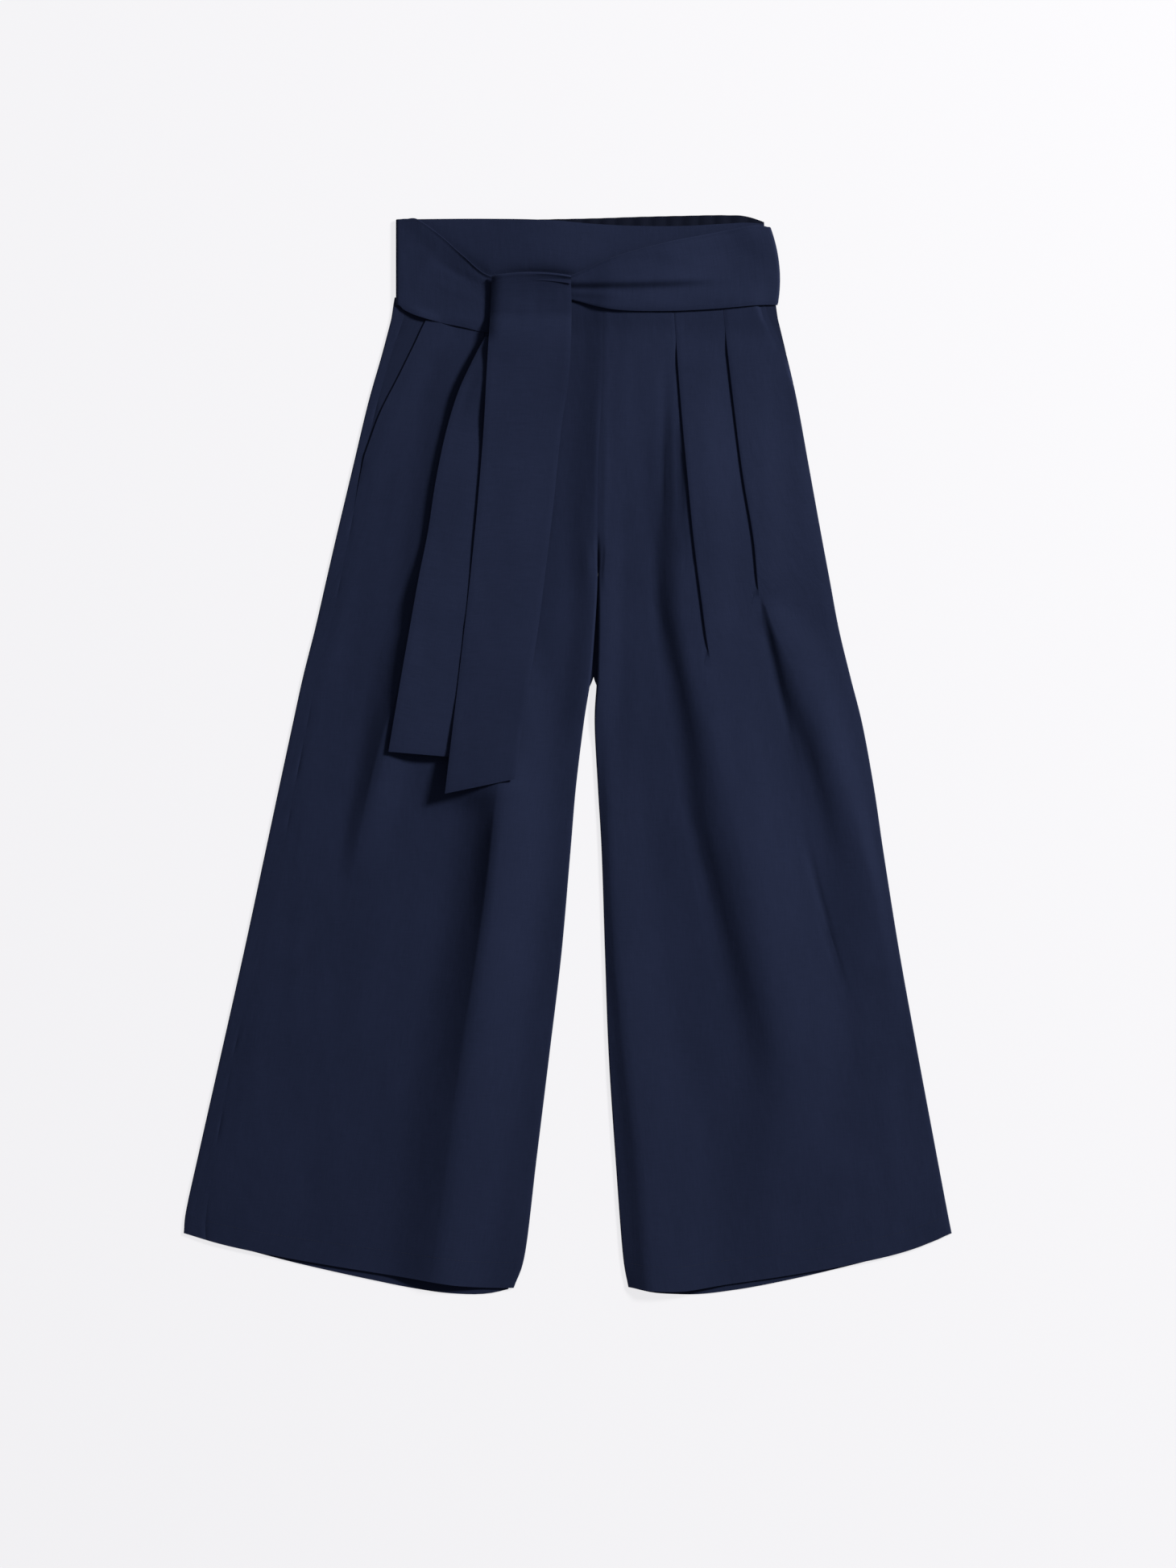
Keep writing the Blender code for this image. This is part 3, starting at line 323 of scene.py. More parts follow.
# Soft folds: how high each one stands along its line, how wide it is towards the inseam and the side, and how
# crisp each slope is: at 1 it is steepest at the crest, and at -1 at its foot.
LEFT_FOLDS = folds(
    strip=(
        (30, 0, 9, 30, 0.3, 0),
        (-48, 1.8, 9, 35, 0.4, 0),
        (-149, 3, 10, 45, 0.5, 0),
        (-224, 4.2, 13, 55, 0.5, 0),
        (-300, 5.4, 17, 66, 0.5, 0),
        (-383, 6.2, 21, 76, 0.5, 0),
        (-515, 6.8, 24, 84, 0.5, 0),
    ),
    crest=(
        (360, 0, 20, 60, 0, 0),
        (320, 2, 26, 100, 0, 0),
        (280, 5, 33, 140, 0.2, 0),
        (218, 7, 34, 150, 0, 0),
        (180, 7.3, 28, 145, 0.1, 0),
        (134, 7.6, 25, 125, 0, 0),
        (89, 8.2, 26, 100, -0.2, 0),
        (28, 9.5, 31, 80, -0.6, 0),
        (-86, 10.5, 40, 74, -0.9, 0),
        (-139, 10.3, 41, 74, -0.9, 0),
        (-200, 9, 39, 74, -0.7, 0),
        (-261, 7, 36, 70, -0.3, 0),
        (-340, 3.5, 45, 60, 0, 0),
        (-430, 0, 45, 60, 0, 0),
    ),
    swell=(
        (150, 0, 5, 18, 0, 0),
        (140, 1.8, 6, 28, 0, 0),
        (128, 3.4, 9, 38, -0.6, 0),
        (110, 4.8, 13, 46, -0.7, 0),
        (89, 5.8, 18, 46, -0.7, 0),
        (28, 6.8, 27, 40, -0.7, 0),
        (-30, 6, 35, 30, -0.5, 0),
        (-86, 4.5, 42, 20, 0, 0),
        (-139, 2.6, 50, 16, 0, 0),
        (-200, 1, 50, 15, 0, 0),
        (-260, 0, 50, 15, 0, 0),
    ),
)
RIGHT_FOLDS = folds(
    pleat_a=(
        (115, 0, 24, 14, 0, 0.3),
        (60, 6, 40, 24, 0, 0.4),
        (-30, 11.5, 56, 44, 0, 0.5),
        (-65, 14.5, 60, 38, 0, 1),
        (-107, 15.5, 62, 38, 0, 1.1),
        (-181, 14.5, 62, 44, 0, 1),
        (-258, 13.5, 62, 50, 0, 0.9),
        (-333, 11.5, 64, 56, 0, 0.7),
        (-407, 9.5, 60, 54, 0, 0.6),
        (-515, 6.5, 54, 48, 0, 0.4),
    ),
    pleat_b=(
        (190, 0, 20, 20, 0, 0),
        (110, 4.5, 26, 34, 0, 0.4),
        (14, 8, 34, 24, 0, 0.7),
        (-33, 7, 36, 20, 0, 0.7),
        (-74, 4, 34, 18, 0, 0.3),
        (-120, 0, 30, 16, 0, 0),
    ),
)

# Creases, listed one by one: from one point to another, how far each bows to the left of its way, its rise
# (below zero for a trough) and its half width, on the left and, where it differs, on the right. Each fades
# out at both ends. The first two run over both legs and the belt: the cloth's fall from under the belt, and a
# ridge beside the knot.
BELT_SWELL = (-60, 425, 236, 425, 0, 5.2, 22, 17)
KNOT_RIDGE = (48, 520, 21, 150, 0, 6, 64, 20)
LEFT_CREASES = (
    # x1, y1, x2, y2, bow, rise, width
    BELT_SWELL,
    KNOT_RIDGE,
    (36, 335, 33, 180, 1, 0.5, 3.5),
    (97.5, 330, 96.5, 195, 0, 1.7, 2.4),
    (92, 370, 90.5, 190, 0, -2, 5),
    (103, 335, 107, 215, 0, -1.2, 4),
    (109, 330, 121, 180, 0, 3, 70, 13),
    (84, 260, 89, 70, -2.5, -1.3, 6),
    (84, 150, 124, -90, 5, -1.6, 6),
    (111, -30, 171, -255, 0, -2, 5.5),
    (180.5, 152, 211, 15, 0, -1.8, 3.6),
    (206, 60, 252, -115, 4, -1.6, 6),
    (217, -55, 268, -250, 0, -1.6, 2.2),
    (62, 405, 70, 250, -2, -0.5, 9),
    (50, 170, 66, -60, 5, 0.7, 14),
    (72, 60, 96, -190, -6, -0.6, 12),
    (100, -40, 140, -250, 5, 0.8, 13),
    (118, 380, 128, 230, 2, 0.4, 7),
    (140, 120, 170, -70, -4, -0.8, 13),
    (150, -60, 196, -300, 6, 0.8, 16),
    (160, 390, 176, 270, -2, 0.4, 8),
    (205, 330, 222, 150, 3, 0.5, 9),
    (232, 120, 262, -60, -4, 0.6, 12),
    (238, -120, 270, -330, 5, -0.7, 13),
    (110, -300, 124, -480, 3, 0.6, 15),
    (180, -330, 200, -490, -4, 0.7, 17),
    (286, -250, 318, -440, -4, 0.6, 14),
    (222, -380, 300, -410, 5, 0.4, 15),
    (36, 60, 40, -90, 1, 0.4, 6),
)
RIGHT_CREASES = (
    BELT_SWELL,
    KNOT_RIDGE,
    (-64, 425, -128, 205, -8, 2.2, 15),
    (-98, 345, -168, -25, -3, 3.6, 18),
    (-138, -38, -38, -26, 0, 4.6, 30, 13),
    (26, 350, 25.5, 180, 1, 0.5, 4),
    (-8, 260, -14, 60, 3, 0.5, 10),
    (-20, 90, -40, -160, -4, 0.6, 14),
    (-12, -60, -34, -260, 3, -0.6, 11),
    (-50, -190, -68, -440, -5, 0.8, 15),
    (-150, 340, -176, 160, 4, 0.5, 10),
    (-186, 200, -214, 20, -4, -0.6, 13),
    (-112, -60, -134, -260, 4, -0.7, 14),
    (-168, -90, -196, -300, -5, 0.8, 18),
    (-240, -40, -262, -240, 4, 0.5, 15),
    (-160, -280, -178, -480, 5, 0.7, 17),
    (-226, -290, -250, -470, -5, -0.6, 17),
    (-292, -220, -318, -420, 4, 0.5, 15),
    (-216, -120, -270, -150, 4, 0.4, 14),
    (-100, 30, -112, -30, 0, -0.5, 8),
)
WRAP_CREASES = (
    # Right wrap, drawn in to the knot
    (-66, 438, -132, 470, 3, -0.6, 4.2),
    (-74, 430, -128, 446, 3, 0.4, 5),
    (-76, 408, -112, 412, 1, 0.5, 3.5),
    (-160, 419.5, -120, 408, 0, 2.6, 5),
    (-120, 486, -150, 440, 3, 0.5, 7),
    # Left wrap
    (-40, 438, 56, 433, 0, 1.6, 4.5),
    (20, 452, 92, 470, 2, -0.5, 5),
    (84, 474, 160, 462, -4, 0.6, 9),
    (110, 436, 180, 432, -3, 0.5, 8),
    (150, 486, 188, 455, 2, -0.4, 8),
)

# Steps in the wraps, where a fold stands over the cloth below it, and how far each one's ends taper
STEP_TAPER = 72.0
WRAP_STEPS = (
    # x1, y1, x2, y2, bow, rise, width
    (-60, 442, 160, 446.5, -3, 7.6, 2.9),
    (-134, 500, -60, 436, 0, 1.7, 4),
    (-118, 456, -72, 420, -3, 0.8, 4),
)

FRONT_END_CREASES = (
    (-52, 446, -58, 404, 1, 0.3, 5),
    (-30, 447, -32, 398, 1, -0.3, 6),
    (-8, 447, -10, 410, -1, 0.2, 4.5),
    (-70, 424, -8, 404, 3, 0.4, 8),
    (-60, 300, -40, 120, 3, 0.35, 12),
    (-84, 210, -60, 60, -3, -0.3, 10),
)
REAR_END_CREASES = (
    (-60, 388, -78, 344, 2, 0.7, 5),
    (-82, 368, -104, 310, -2, -0.6, 5),
    (-96, 280, -112, 150, 3, 0.35, 10),
    (-128, 160, -140, 40, -2, -0.3, 10),
)

# On the underside: short gathers below the elastic, and long soft folds. They only rise from the floor.
ELASTIC_Y = 422
BACK_CREASES = tuple(
    (x, ELASTIC_Y, x + lean, ELASTIC_Y - length, 0, 0.5, 2.4)
    for x, lean, length in (
        (-140, -8, 40), (-118, -5, 62), (-97, -4, 48), (-72, -3, 70), (-50, -2, 44), (-24, 0, 66),
        (4, 0, 52), (46, 1, 58), (68, 2, 42), (90, 3, 68), (117, 4, 46), (139, 6, 60), (163, 8, 38),
    )
) + (
    (-110, 250, -150, -60, 8, 0.7, 12),
    (-60, 60, -110, -300, -8, 0.7, 14),
    (-200, -20, -240, -380, 8, 0.8, 15),
    (100, 250, 140, -60, -8, 0.7, 12),
    (120, -40, 170, -340, 8, 0.7, 14),
    (230, 60, 280, -330, -8, 0.8, 15),
)

# How much of a hem's sag there is at each share of the way from the inseam to the side
FRONT_SAG = Table(
    "share sag",
    (0, 0), (0.06, 0.42), (0.15, 0.85), (0.3, 0.95), (0.55, 1.05), (0.7, 1), (0.9, 0.58), (1, 0),
)
RIGHT_BACK_SAG = Table(
    "share sag",
    (0, 0), (0.07, 0.54), (0.19, 0.94), (0.31, 1), (0.43, 0.92), (0.56, 0.79), (0.68, 0.63), (0.8, 0.4),
    (0.9, 0.2), (1, 0),
)
LEFT_BACK_SAG = Table(
    "share sag",
    (0, 0), (0.077, 0.47), (0.14, 0.7), (0.2, 0.87), (0.325, 0.99), (0.51, 0.93), (0.64, 0.8), (0.76, 0.64),
    (0.885, 0.42), (0.95, 0.24), (1, 0),
)

# Fine ripples of the cloth: height, width, length and place in the noise
LEG_RIPPLES = ((0.22, 13.0, 120.0, 0.0), (0.1, 9.0, 14.0, 5.0))
WRAP_RIPPLES = ((0.2, 30.0, 11.0, 9.0),)
REAR_END_RIPPLES = ((0.16, 16.0, 60.0, 13.0),)
FRONT_END_RIPPLES = ((0.16, 16.0, 60.0, 12.0),)

# Puckers of the right side seam: a long and a short wave along it, and how strongly the thread draws them in,
# each as its place beside the others, its size and its length. Then how far they reach beside the seam, which
# itself sinks in.
PUCKERS = ((0.0, 1.0, 6.5), (4.0, 0.6, 3.6))
DRAWN = (9.0, 1.8, 26.0)
LEAST_DRAWN = 0.08
PUCKER_RISE = 0.45
PUCKER_REACH = 5.0
SEAM_SINK = 0.7
SEAM_SINK_WIDTH = 1.2


def fade(distance, width):
    """1 at no distance, easing to 0 at width."""
    return 0.5 + 0.5 * np.cos(np.pi * np.clip(distance / width, 0.0, 1.0))


def slope(share, crisp):
    """Height of a fold's side, from 1 at its crest to 0 at its foot."""
    soft = fade(share, 1.0)
    other = np.where(crisp > 0, (1 - share) ** 2, 1 - share**2)
    return soft + (other - soft) * np.abs(crisp)


def beside(x, y, way, bow):
    """How points lie to a bowed way: its window, and how far to its left and from its nearer end they are."""
    x1, y1, x2, y2 = way
    dx, dy = x2 - x1, y2 - y1
    length = math.hypot(dx, dy)
    share = np.clip(((x - x1) * dx + (y - y1) * dy) / length**2, 0.0, 1.0)
    window = np.sin(np.pi * share)
    across = ((x - x1) * -dy + (y - y1) * dx) / length - bow * window
    return window, across, np.minimum(share, 1 - share) * length


def crease_height(x, y, creases):
    height = np.zeros_like(x)
    for *way, bow, rise, width, right_width in (c if len(c) > 7 else (*c, c[-1]) for c in creases):
        window, across, _ = beside(x, y, way, bow)
        height += rise * window * np.exp(-((across / np.where(across > 0, width, right_width)) ** 2))
    return height


def step_height(x, y, steps):
    """Soft steps, each high on the left of its way and low on the right."""
    height = np.zeros_like(x)
    for *way, bow, rise, width in steps:
        _, across, from_end = beside(x, y, way, bow)
        height += rise * (1 - fade(from_end, STEP_TAPER)) * (0.5 + 0.5 * np.tanh(across / width))
    return height


def noise_at(x, y, rise, wide, tall=1.0, place=0.0):
    return rise * noise.noise(Vector((x / wide, y / tall, SEED + place)))


def ripples(x, y, rows):
    """Smooth uneven ripples, in one or more layers."""
    return sum(np.array([noise_at(*point, *row) for point in zip(x, y)]) for row in rows)


class Leg:
    """One leg's plan. Positions across it are distances outward from its inner edge."""

    def __init__(self, outline, lines, folds, creases, back_sag, side):
        self.outline = outline
        self.sag = {"bow": FRONT_SAG, "back_bow": back_sag}
        self.lines = lines
        self.folds = folds
        self.creases = creases
        self.side = side

    def place(self, station, outward, bow="bow"):
        """x and y at distances outward along a section."""
        outward = np.asarray(outward, float)
        inner_x, inner_y = self.outline.at("inner_x", station), self.outline.at("inner_y", station)
        share = np.clip(outward / self.width(station), 0.0, 1.0)
        y = inner_y + (self.outline.at("outer_y", station) - inner_y) * share
        sag = self.outline.at(bow, station) * self.sag[bow].at("sag", share)
        return inner_x + self.side * outward, y - sag

    def width(self, station):
        return abs(self.outline.at("outer_x", station) - self.outline.at("inner_x", station))

    def find(self, station, line_at):
        """The distance outward at which the section meets a line, given as x at a height."""
        outward = self.width(station) / 2
        for _ in range(FIND_STEPS):
            _, y = self.place(station, outward)
            outward = self.side * (line_at(y) - self.outline.at("inner_x", station))
        return outward

    def fold_height(self, x, y):
        """Height of the soft folds over the layer."""
        height = np.zeros_like(x)
        for name, rows in self.folds.items():
            inside = (y >= rows.low) & (y <= rows.high)
            rise = np.where(inside, np.maximum(rows.at("rise", y), 0.0), 0.0)
            away = self.side * (x - self.lines.at(name, y))
            outward = away > 0
            width = np.where(outward, rows.at("outward", y), rows.at("inward", y))
            crisp = np.where(outward, rows.at("out_crisp", y), rows.at("in_crisp", y))
            height += rise * slope(np.clip(np.abs(away) / width, 0.0, 1.0), crisp)
        return height

    def relief(self, x, y):
        """Everything that stands over the flat layer: folds, creases and fine ripples."""
        return self.fold_height(x, y) + crease_height(x, y, self.creases) + ripples(x, y, LEG_RIPPLES)

    def pleat_height(self, x, y, pleat, rows):
        """Height that a pleat's two extra layers add."""
        depth = rows.at("depth", y)
        away = self.side * (x - self.lines.at(pleat, y))
        raised = PLEAT_RISE * fade(away - np.maximum(depth, 0.0) - PLEAT_MARGIN, PLEAT_FADE)
        return np.where((depth < PLEAT_OPEN) | (away < -PLEAT_MARGIN), 0.0, raised)


RIGHT = Leg(RIGHT_OUTLINE, RIGHT_LINES, RIGHT_FOLDS, RIGHT_CREASES, RIGHT_BACK_SAG, -1)
LEFT = Leg(LEFT_OUTLINE, LEFT_LINES, LEFT_FOLDS, LEFT_CREASES, LEFT_BACK_SAG, 1)
PLEATS = {"pleat_a": PLEAT_A, "pleat_b": PLEAT_B}


def stations_of(outline, first=0.0, last=None):
    """Stations about ROW_SPACING apart from one station to another."""
    last = outline.count - 1.0 if last is None else last
    fine = np.linspace(first, last, STATION_POINTS)
    drop = np.abs(np.diff(outline.at("outer_y", fine)))
    along = np.concatenate([[0.0], np.cumsum(drop)])
    count = int(round(along[-1] / ROW_SPACING)) + 1
    return np.interp(np.linspace(0.0, along[-1], count), along, fine)


def arc(radius, angle, steps=TURN_STEPS):
    """How far along and up the points of a turn lie from its start."""
    angles = [angle * k / steps for k in range(steps + 1)]
    return [(radius * math.sin(a), radius * (1 - math.cos(a))) for a in angles]


def turned_edge(turn, end_z):
    """An edge that turns down, as (distance inside the edge, z) from its hidden end to its top."""
    angle = math.radians(max(turn, LEAST_TURN))
    points = [(-s, -z) for s, z in arc(TURN_LENGTH / angle, angle)]
    end, lowest = points[-1][0] - TURN_TUCK * math.cos(angle), points[-1][1] - TURN_TUCK * math.sin(angle)
    points.append((end, lowest))
    nearest = min(s for s, _ in points) - SHELL / 2 * math.sin(min(angle, math.pi / 2))
    return [(s - nearest, z - lowest + end_z) for s, z in reversed(points)]


def pleat_points(edge, depth, z, z_low, hairpin):
    """The two hairpin turns of a pleat whose fold stands at edge, from its lower layer to its upper one."""
    turn = math.pi if depth >= 0 else 2 * math.atan2(2 * hairpin, -depth)
    lower = [(edge + depth + s, z_low + up) for s, up in arc(hairpin, turn, HAIRPIN_STEPS)]
    middle = (2 * edge + depth, z + z_low + 4 * hairpin)
    return lower + [(middle[0] - s, middle[1] - turn_z) for s, turn_z in reversed(lower)]


def side_roll_z(inside):
    """Height of the cloth near a side where the back panel turns onto the front."""
    return LAYER_Z + (FLOOR_Z + SIDE_ROLL_HEIGHT - LAYER_Z) * fade(inside - SIDE_ROLL_HEIGHT / 2, EDGE_FADE)


def seam_relief(station, inside, seam):
    """The groove of the right side seam, and small uneven puckers beside it."""
    y = float(RIGHT.outline.at("outer_y", station))
    wave = sum(noise_at(y, *row) for row in PUCKERS)
    drawn = max(noise_at(y, *DRAWN), LEAST_DRAWN)
    away = inside - seam
    puckers = PUCKER_RISE * wave * math.exp(-((away / PUCKER_REACH) ** 2))
    return drawn * (puckers - SEAM_SINK * math.exp(-((away / SEAM_SINK_WIDTH) ** 2)))


def reach_up(station):
    """How much further up the fronts go, under the belt."""
    return FRONT_REACH * fade(station, REACH_STATIONS)


def front_row(leg, station, columns, outer_edge):
    """One section of a front panel from its inner edge to its outer one, as (key, point) pairs.

    Points of neighbouring sections with the same key are joined by a quad.
    """
    inner = turned_edge(*(INNER_EDGE.straight(name, "station", station) for name in ("turn", "end_z")))
    seam = SEAM_GAP if station < CROTCH_STATION else 0.0
    inner = [(s + seam, z) for s, z in inner]
    turned = 1 - fade(station - CROTCH_STATION + 1.0, 1.0)
    total = leg.width(station)
    outer = [(total - s, z) for s, z in reversed(outer_edge(leg, station))]
    inner_top, outer_top = inner[-1], outer[0]

    def height(outward):
        x, y = leg.place(station, outward)
        near = (inner_top[1] - LAYER_Z) * fade(outward - inner_top[0], EDGE_FADE)
        far = (outer_top[1] - LAYER_Z) * fade(outer_top[0] - outward, EDGE_FADE)
        ends = turned * fade(outward - inner_top[0], EDGE_CREASE_FADE)
        ends = ends + fade(outer_top[0] - outward, EDGE_CREASE_FADE)
        return LAYER_Z + near + far + leg.relief(x, y) - crease_height(x, y, leg.creases) * ends

    named = [name for name in columns if name[0] != "+"]
    places = {name: leg.find(station, lambda y, n=name: leg.lines.at(n, y)) for name in named}
    # Key, distance outward and height of each point, and whether that height comes on top of the cloth's own
    path = [(k / KEY_STEPS, s, z, False) for k, (s, z) in enumerate(inner)]
    last, step_from, rise = inner_top[0], 0.0, 0.0

    def on_cloth(key, outward):
        path.append((key, outward, rise * fade(outward - step_from, PLEAT_FADE), True))

    for index, (name, next_name) in enumerate(zip(columns, columns[1:] + [""])):
        key = index + 1.0
        if name[0] == "+":
            following = next((places[n] for n in columns[index:] if n[0] != "+"), outer_top[0])
            following -= PLEAT_MARGIN if next_name in PLEATS else 0.0
            parts = int(name[1:]) + 1
            if following - last >= NARROWEST * parts:
                for k in range(1, parts):
                    on_cloth(key + k / parts, last + (following - last) * k / parts)
            continue
        edge = places[name]
        if not last + NARROWEST < edge < outer_top[0] - NARROWEST:
            continue
        y = leg.place(station, edge)[1]
        depth = float(PLEATS[name].at("depth", y)) if name in PLEATS else PLEAT_OPEN
        if depth <= PLEAT_OPEN:
            on_cloth(key + PLAIN_KEY, edge)
            last = edge
            continue
        step_from = edge + max(depth, 0.0) + PLEAT_MARGIN
        below = PLEAT_TOPS[name] - y
        full = (1 - fade(below, PLEAT_TOP_FADE)) * (1 - fade(depth - PLEAT_OPEN, PLEAT_FOOT))
        hairpin = HAIRPIN * (PLEAT_SHUT + (1 - PLEAT_SHUT) * full)
        rise = 4 * hairpin
        over = edge + (step_from - edge) * np.array(OVER_SHARES)
        z, z_low = height(np.array([edge, edge + depth]))
        path.append((key, edge - PLEAT_MARGIN + min(depth, 0.0), z, False))
        for k, (s, turn_z) in enumerate(pleat_points(edge, depth, z, z_low, hairpin)):
            path.append((key + TURN_KEY + k / KEY_STEPS, s, turn_z, False))
        path += [(key + OVER_KEY + OVER_KEY_SPAN * k, s, rise, True) for k, s in zip(OVER_SHARES, over)]
        last = step_from
    key = len(columns) + 1.0
    path += [(key + k / KEY_STEPS, s, z, False) for k, (s, z) in enumerate(outer)]
    keys, outward, z, added = map(np.array, zip(*path))
    z[added] += height(outward[added])
    x, y = leg.place(station, outward)
    groove = SEAM_GROOVE * np.exp(-((outward / SEAM_GROOVE_WIDTH) ** 2))
    ends = np.arange(len(path)) < len(inner)
    z += (1 - turned) * (np.where(ends, crease_height(x, y, leg.creases), 0.0) - groove)
    return list(zip(keys, zip(x, y + reach_up(station), z)))


def left_outer_edge(leg, station):
    names = ("turn", "end_z", "inset")
    turn, end_z, inset = (LEFT_OUTER_EDGE.straight(name, "station", station) for name in names)
    points = turned_edge(turn, end_z)
    sunk = max(points[-1][1] - LEFT_EDGE_TOP, 0.0)
    return [(s + inset, max(z - sunk, SHELL / 2)) for s, z in points]


def side_seam(leg, station):
    """Distance of the right side seam inside the outline."""
    return float(leg.outline.at("wrap", station))


def mouth_inside(leg, station):
    """Distance of the right pocket mouth inside the outline."""
    outward = leg.find(station, lambda y: RIGHT_MOUTH.at("x", y))
    return float(max(leg.width(station) - outward, side_seam(leg, station)))


def right_outer_edge(leg, station):
    seam = side_seam(leg, station)
    edge = mouth_inside(leg, station) if station <= RIGHT_POCKET_END else seam
    lift = POCKET_LIFT * fade(station - RIGHT_POCKET_END, 1.0)
    puckered = 1 - fade(station - RIGHT_POCKET_END + MOUTH_END, MOUTH_END)
    inside = [edge + s for s in POCKET_EDGE_POINTS]
    return [(s, side_roll_z(s) + lift + seam_relief(station, s, seam) * puckered) for s in inside]


def back_inner(leg, station):
    """x and y of a back panel's inner edge: the centre back seam, then the inseam under the turned front."""
    x, y = leg.place(station, BACK_INSET, "back_bow")
    if station >= INSEAM_STATION + INSEAM_BLEND:
        return x, y
    seam_x = leg.outline.at("inner_x", station)
    if station > CROTCH_STATION:
        seam_x = CENTRE_BACK.at("x", station)
    seam_x += leg.side * SEAM_GAP
    share = max(station - INSEAM_STATION, 0.0) / INSEAM_BLEND
    return seam_x + (x - seam_x) * share, y


def flat_points(leg, station, stop):
    """Points of a back panel's flat stretch, from its inner edge to a distance outward."""
    x, y = back_inner(leg, station)
    start = leg.side * (x - leg.outline.at("inner_x", station))
    outward = np.linspace(start, stop, BACK_POINTS)
    xs, ys = leg.place(station, outward, "back_bow")
    xs[0], ys[0] = x, y
    ends = fade(outward - start, BACK_CREASE_FADE) + fade(stop - outward, BACK_CREASE_FADE)
    rise = np.maximum(crease_height(xs, ys, BACK_CREASES), 0.0) * (1 - ends)
    return list(zip(xs, ys, FLOOR_Z + rise))


def back_row_right(leg, station):
    total = leg.width(station)
    radius = SIDE_ROLL_HEIGHT / 2
    centre = total - CLOTH / 2 - radius
    points = flat_points(leg, station, centre)
    up = reach_up(station)
    for s, z in arc(radius, math.pi)[1:]:
        x, y = leg.place(station, centre + s)
        points.append((x, y + up, FLOOR_Z + z))
    seam = side_seam(leg, station)
    for share in SEAM_SHARES:
        inside = SIDE_ROLL_HEIGHT + (seam - SIDE_ROLL_HEIGHT) * share
        z = side_roll_z(inside) + seam_relief(station, inside, seam)
        x, y = leg.place(station, total - inside)
        points.append((x, y + up, z))
    return list(enumerate(points))


def back_row_left(leg, station):
    inset = np.interp(station, (LEFT_POCKET_END, LEFT_TURN_START), (CLOTH / 2, BACK_INSET))
    return list(enumerate(flat_points(leg, station, leg.width(station) - inset)))


def facing_row_right(leg, station):
    """A section of the right pocket facing, from under the front panel out to the side seam."""
    seam = side_seam(leg, station)
    inside = np.linspace(mouth_inside(leg, station) + POCKET_UNDERLAP, seam, RIGHT_FACING_POINTS)
    x, y = leg.place(station, leg.width(station) - inside)
    z = [side_roll_z(s) + seam_relief(station, s, seam) for s in inside]
    return list(enumerate(zip(x, y + reach_up(station), z)))


def facing_row_left(leg, station):
    inner = LEFT_OUTER_EDGE.straight("inset", "station", station) + POCKET_UNDERLAP
    total = leg.width(station)
    x, y = leg.place(station, np.linspace(total - inner, total - CLOTH / 2, LEFT_FACING_POINTS))
    return list(enumerate(zip(x, y + reach_up(station), np.full(LEFT_FACING_POINTS, LAYER_Z))))


def band_row(xs, side, share, z):
    """A row along a waistband, a share of the way from the waist seam up to its top edge."""
    low = WAIST_Y + BAND_LAPS[side]
    return list(enumerate((x, low + (top - low) * share, z) for x, top in zip(xs, BAND_TOP.at(side, xs))))


# Each wrap rises to its top edge, which ends in a rim that is highest near the knot. Its rows crowd towards
# that edge, its relief and ripples fade out at the garment's side, and its first few sections reach the knot.
RIM_WIDTH = 3.4
RIM_RISE = 0.45
RIM_NEAR_KNOT = 0.9
TOP_TILT = 2.0
TILT_WIDTH = 26.0
WRAP_CROWDING = 1.35
WRAP_SIDE_FADE = 26.0
RIPPLE_SIDE_FADE = 10.0
ROWS_TO_KNOT = 6

# The middle of the knot's arch and half its width, where the rims beside it are highest and how fast they
# sink from there, and the shares of the way down a wrap between which it holds up what lies on it
KNOT_X = -34.0
KNOT_HALF = 37.0
RIM_X = -30.0
RIM_HALF = 42.0
RIM_FADE = 55.0
UNDER_SHARES = (-0.2, 1.1)

# How the front band stands up beside the belt: along all of it, above the knot, and how soon
BAND_RISE = 0.4
KNOT_BAND_RISE = 5.4
KNOT_BAND_X = -26.0
KNOT_BAND_REACH = 56.0
BAND_RISE_LENGTH = 6.0


def belt_share(rows, x, y):
    """How far down a wrap the point is, from 0 at its top edge to 1 at its bottom one."""
    top, bottom = (rows.straight(name, "x", x) for name in ("top", "bottom"))
    return (top - y) / (top - bottom)


def belt_top(x):
    """Height of the belt's top edge, over both wraps and the knot between them."""
    wraps = [np.array([w.columns["x"], w.columns["top"]])[:, :ROWS_TO_KNOT] for w in (RIGHT_WRAP, LEFT_WRAP)]
    xs, tops = np.hstack(wraps)
    order = np.argsort(xs)
    return np.interp(x, xs[order], tops[order])


def band_rise(x, y):
    """The front band is drawn in by the belt: it stands up beside it, most of all above the knot."""
    arch = KNOT_ARCH * max(1 - ((x - KNOT_X) / KNOT_HALF) ** 2, 0.0)
    above = max(y - belt_top(x) - arch - GAP, 0.0)
    height = BAND_RISE + KNOT_BAND_RISE * math.exp(-(((x - KNOT_BAND_X) / KNOT_BAND_REACH) ** 2))
    return height * (1 - math.exp(-above / BAND_RISE_LENGTH))


def wrap_relief(x, y):
    """Everything that stands over a wrap's flat lie."""
    return crease_height(x, y, (BELT_SWELL, KNOT_RIDGE) + WRAP_CREASES) + step_height(x, y, WRAP_STEPS)


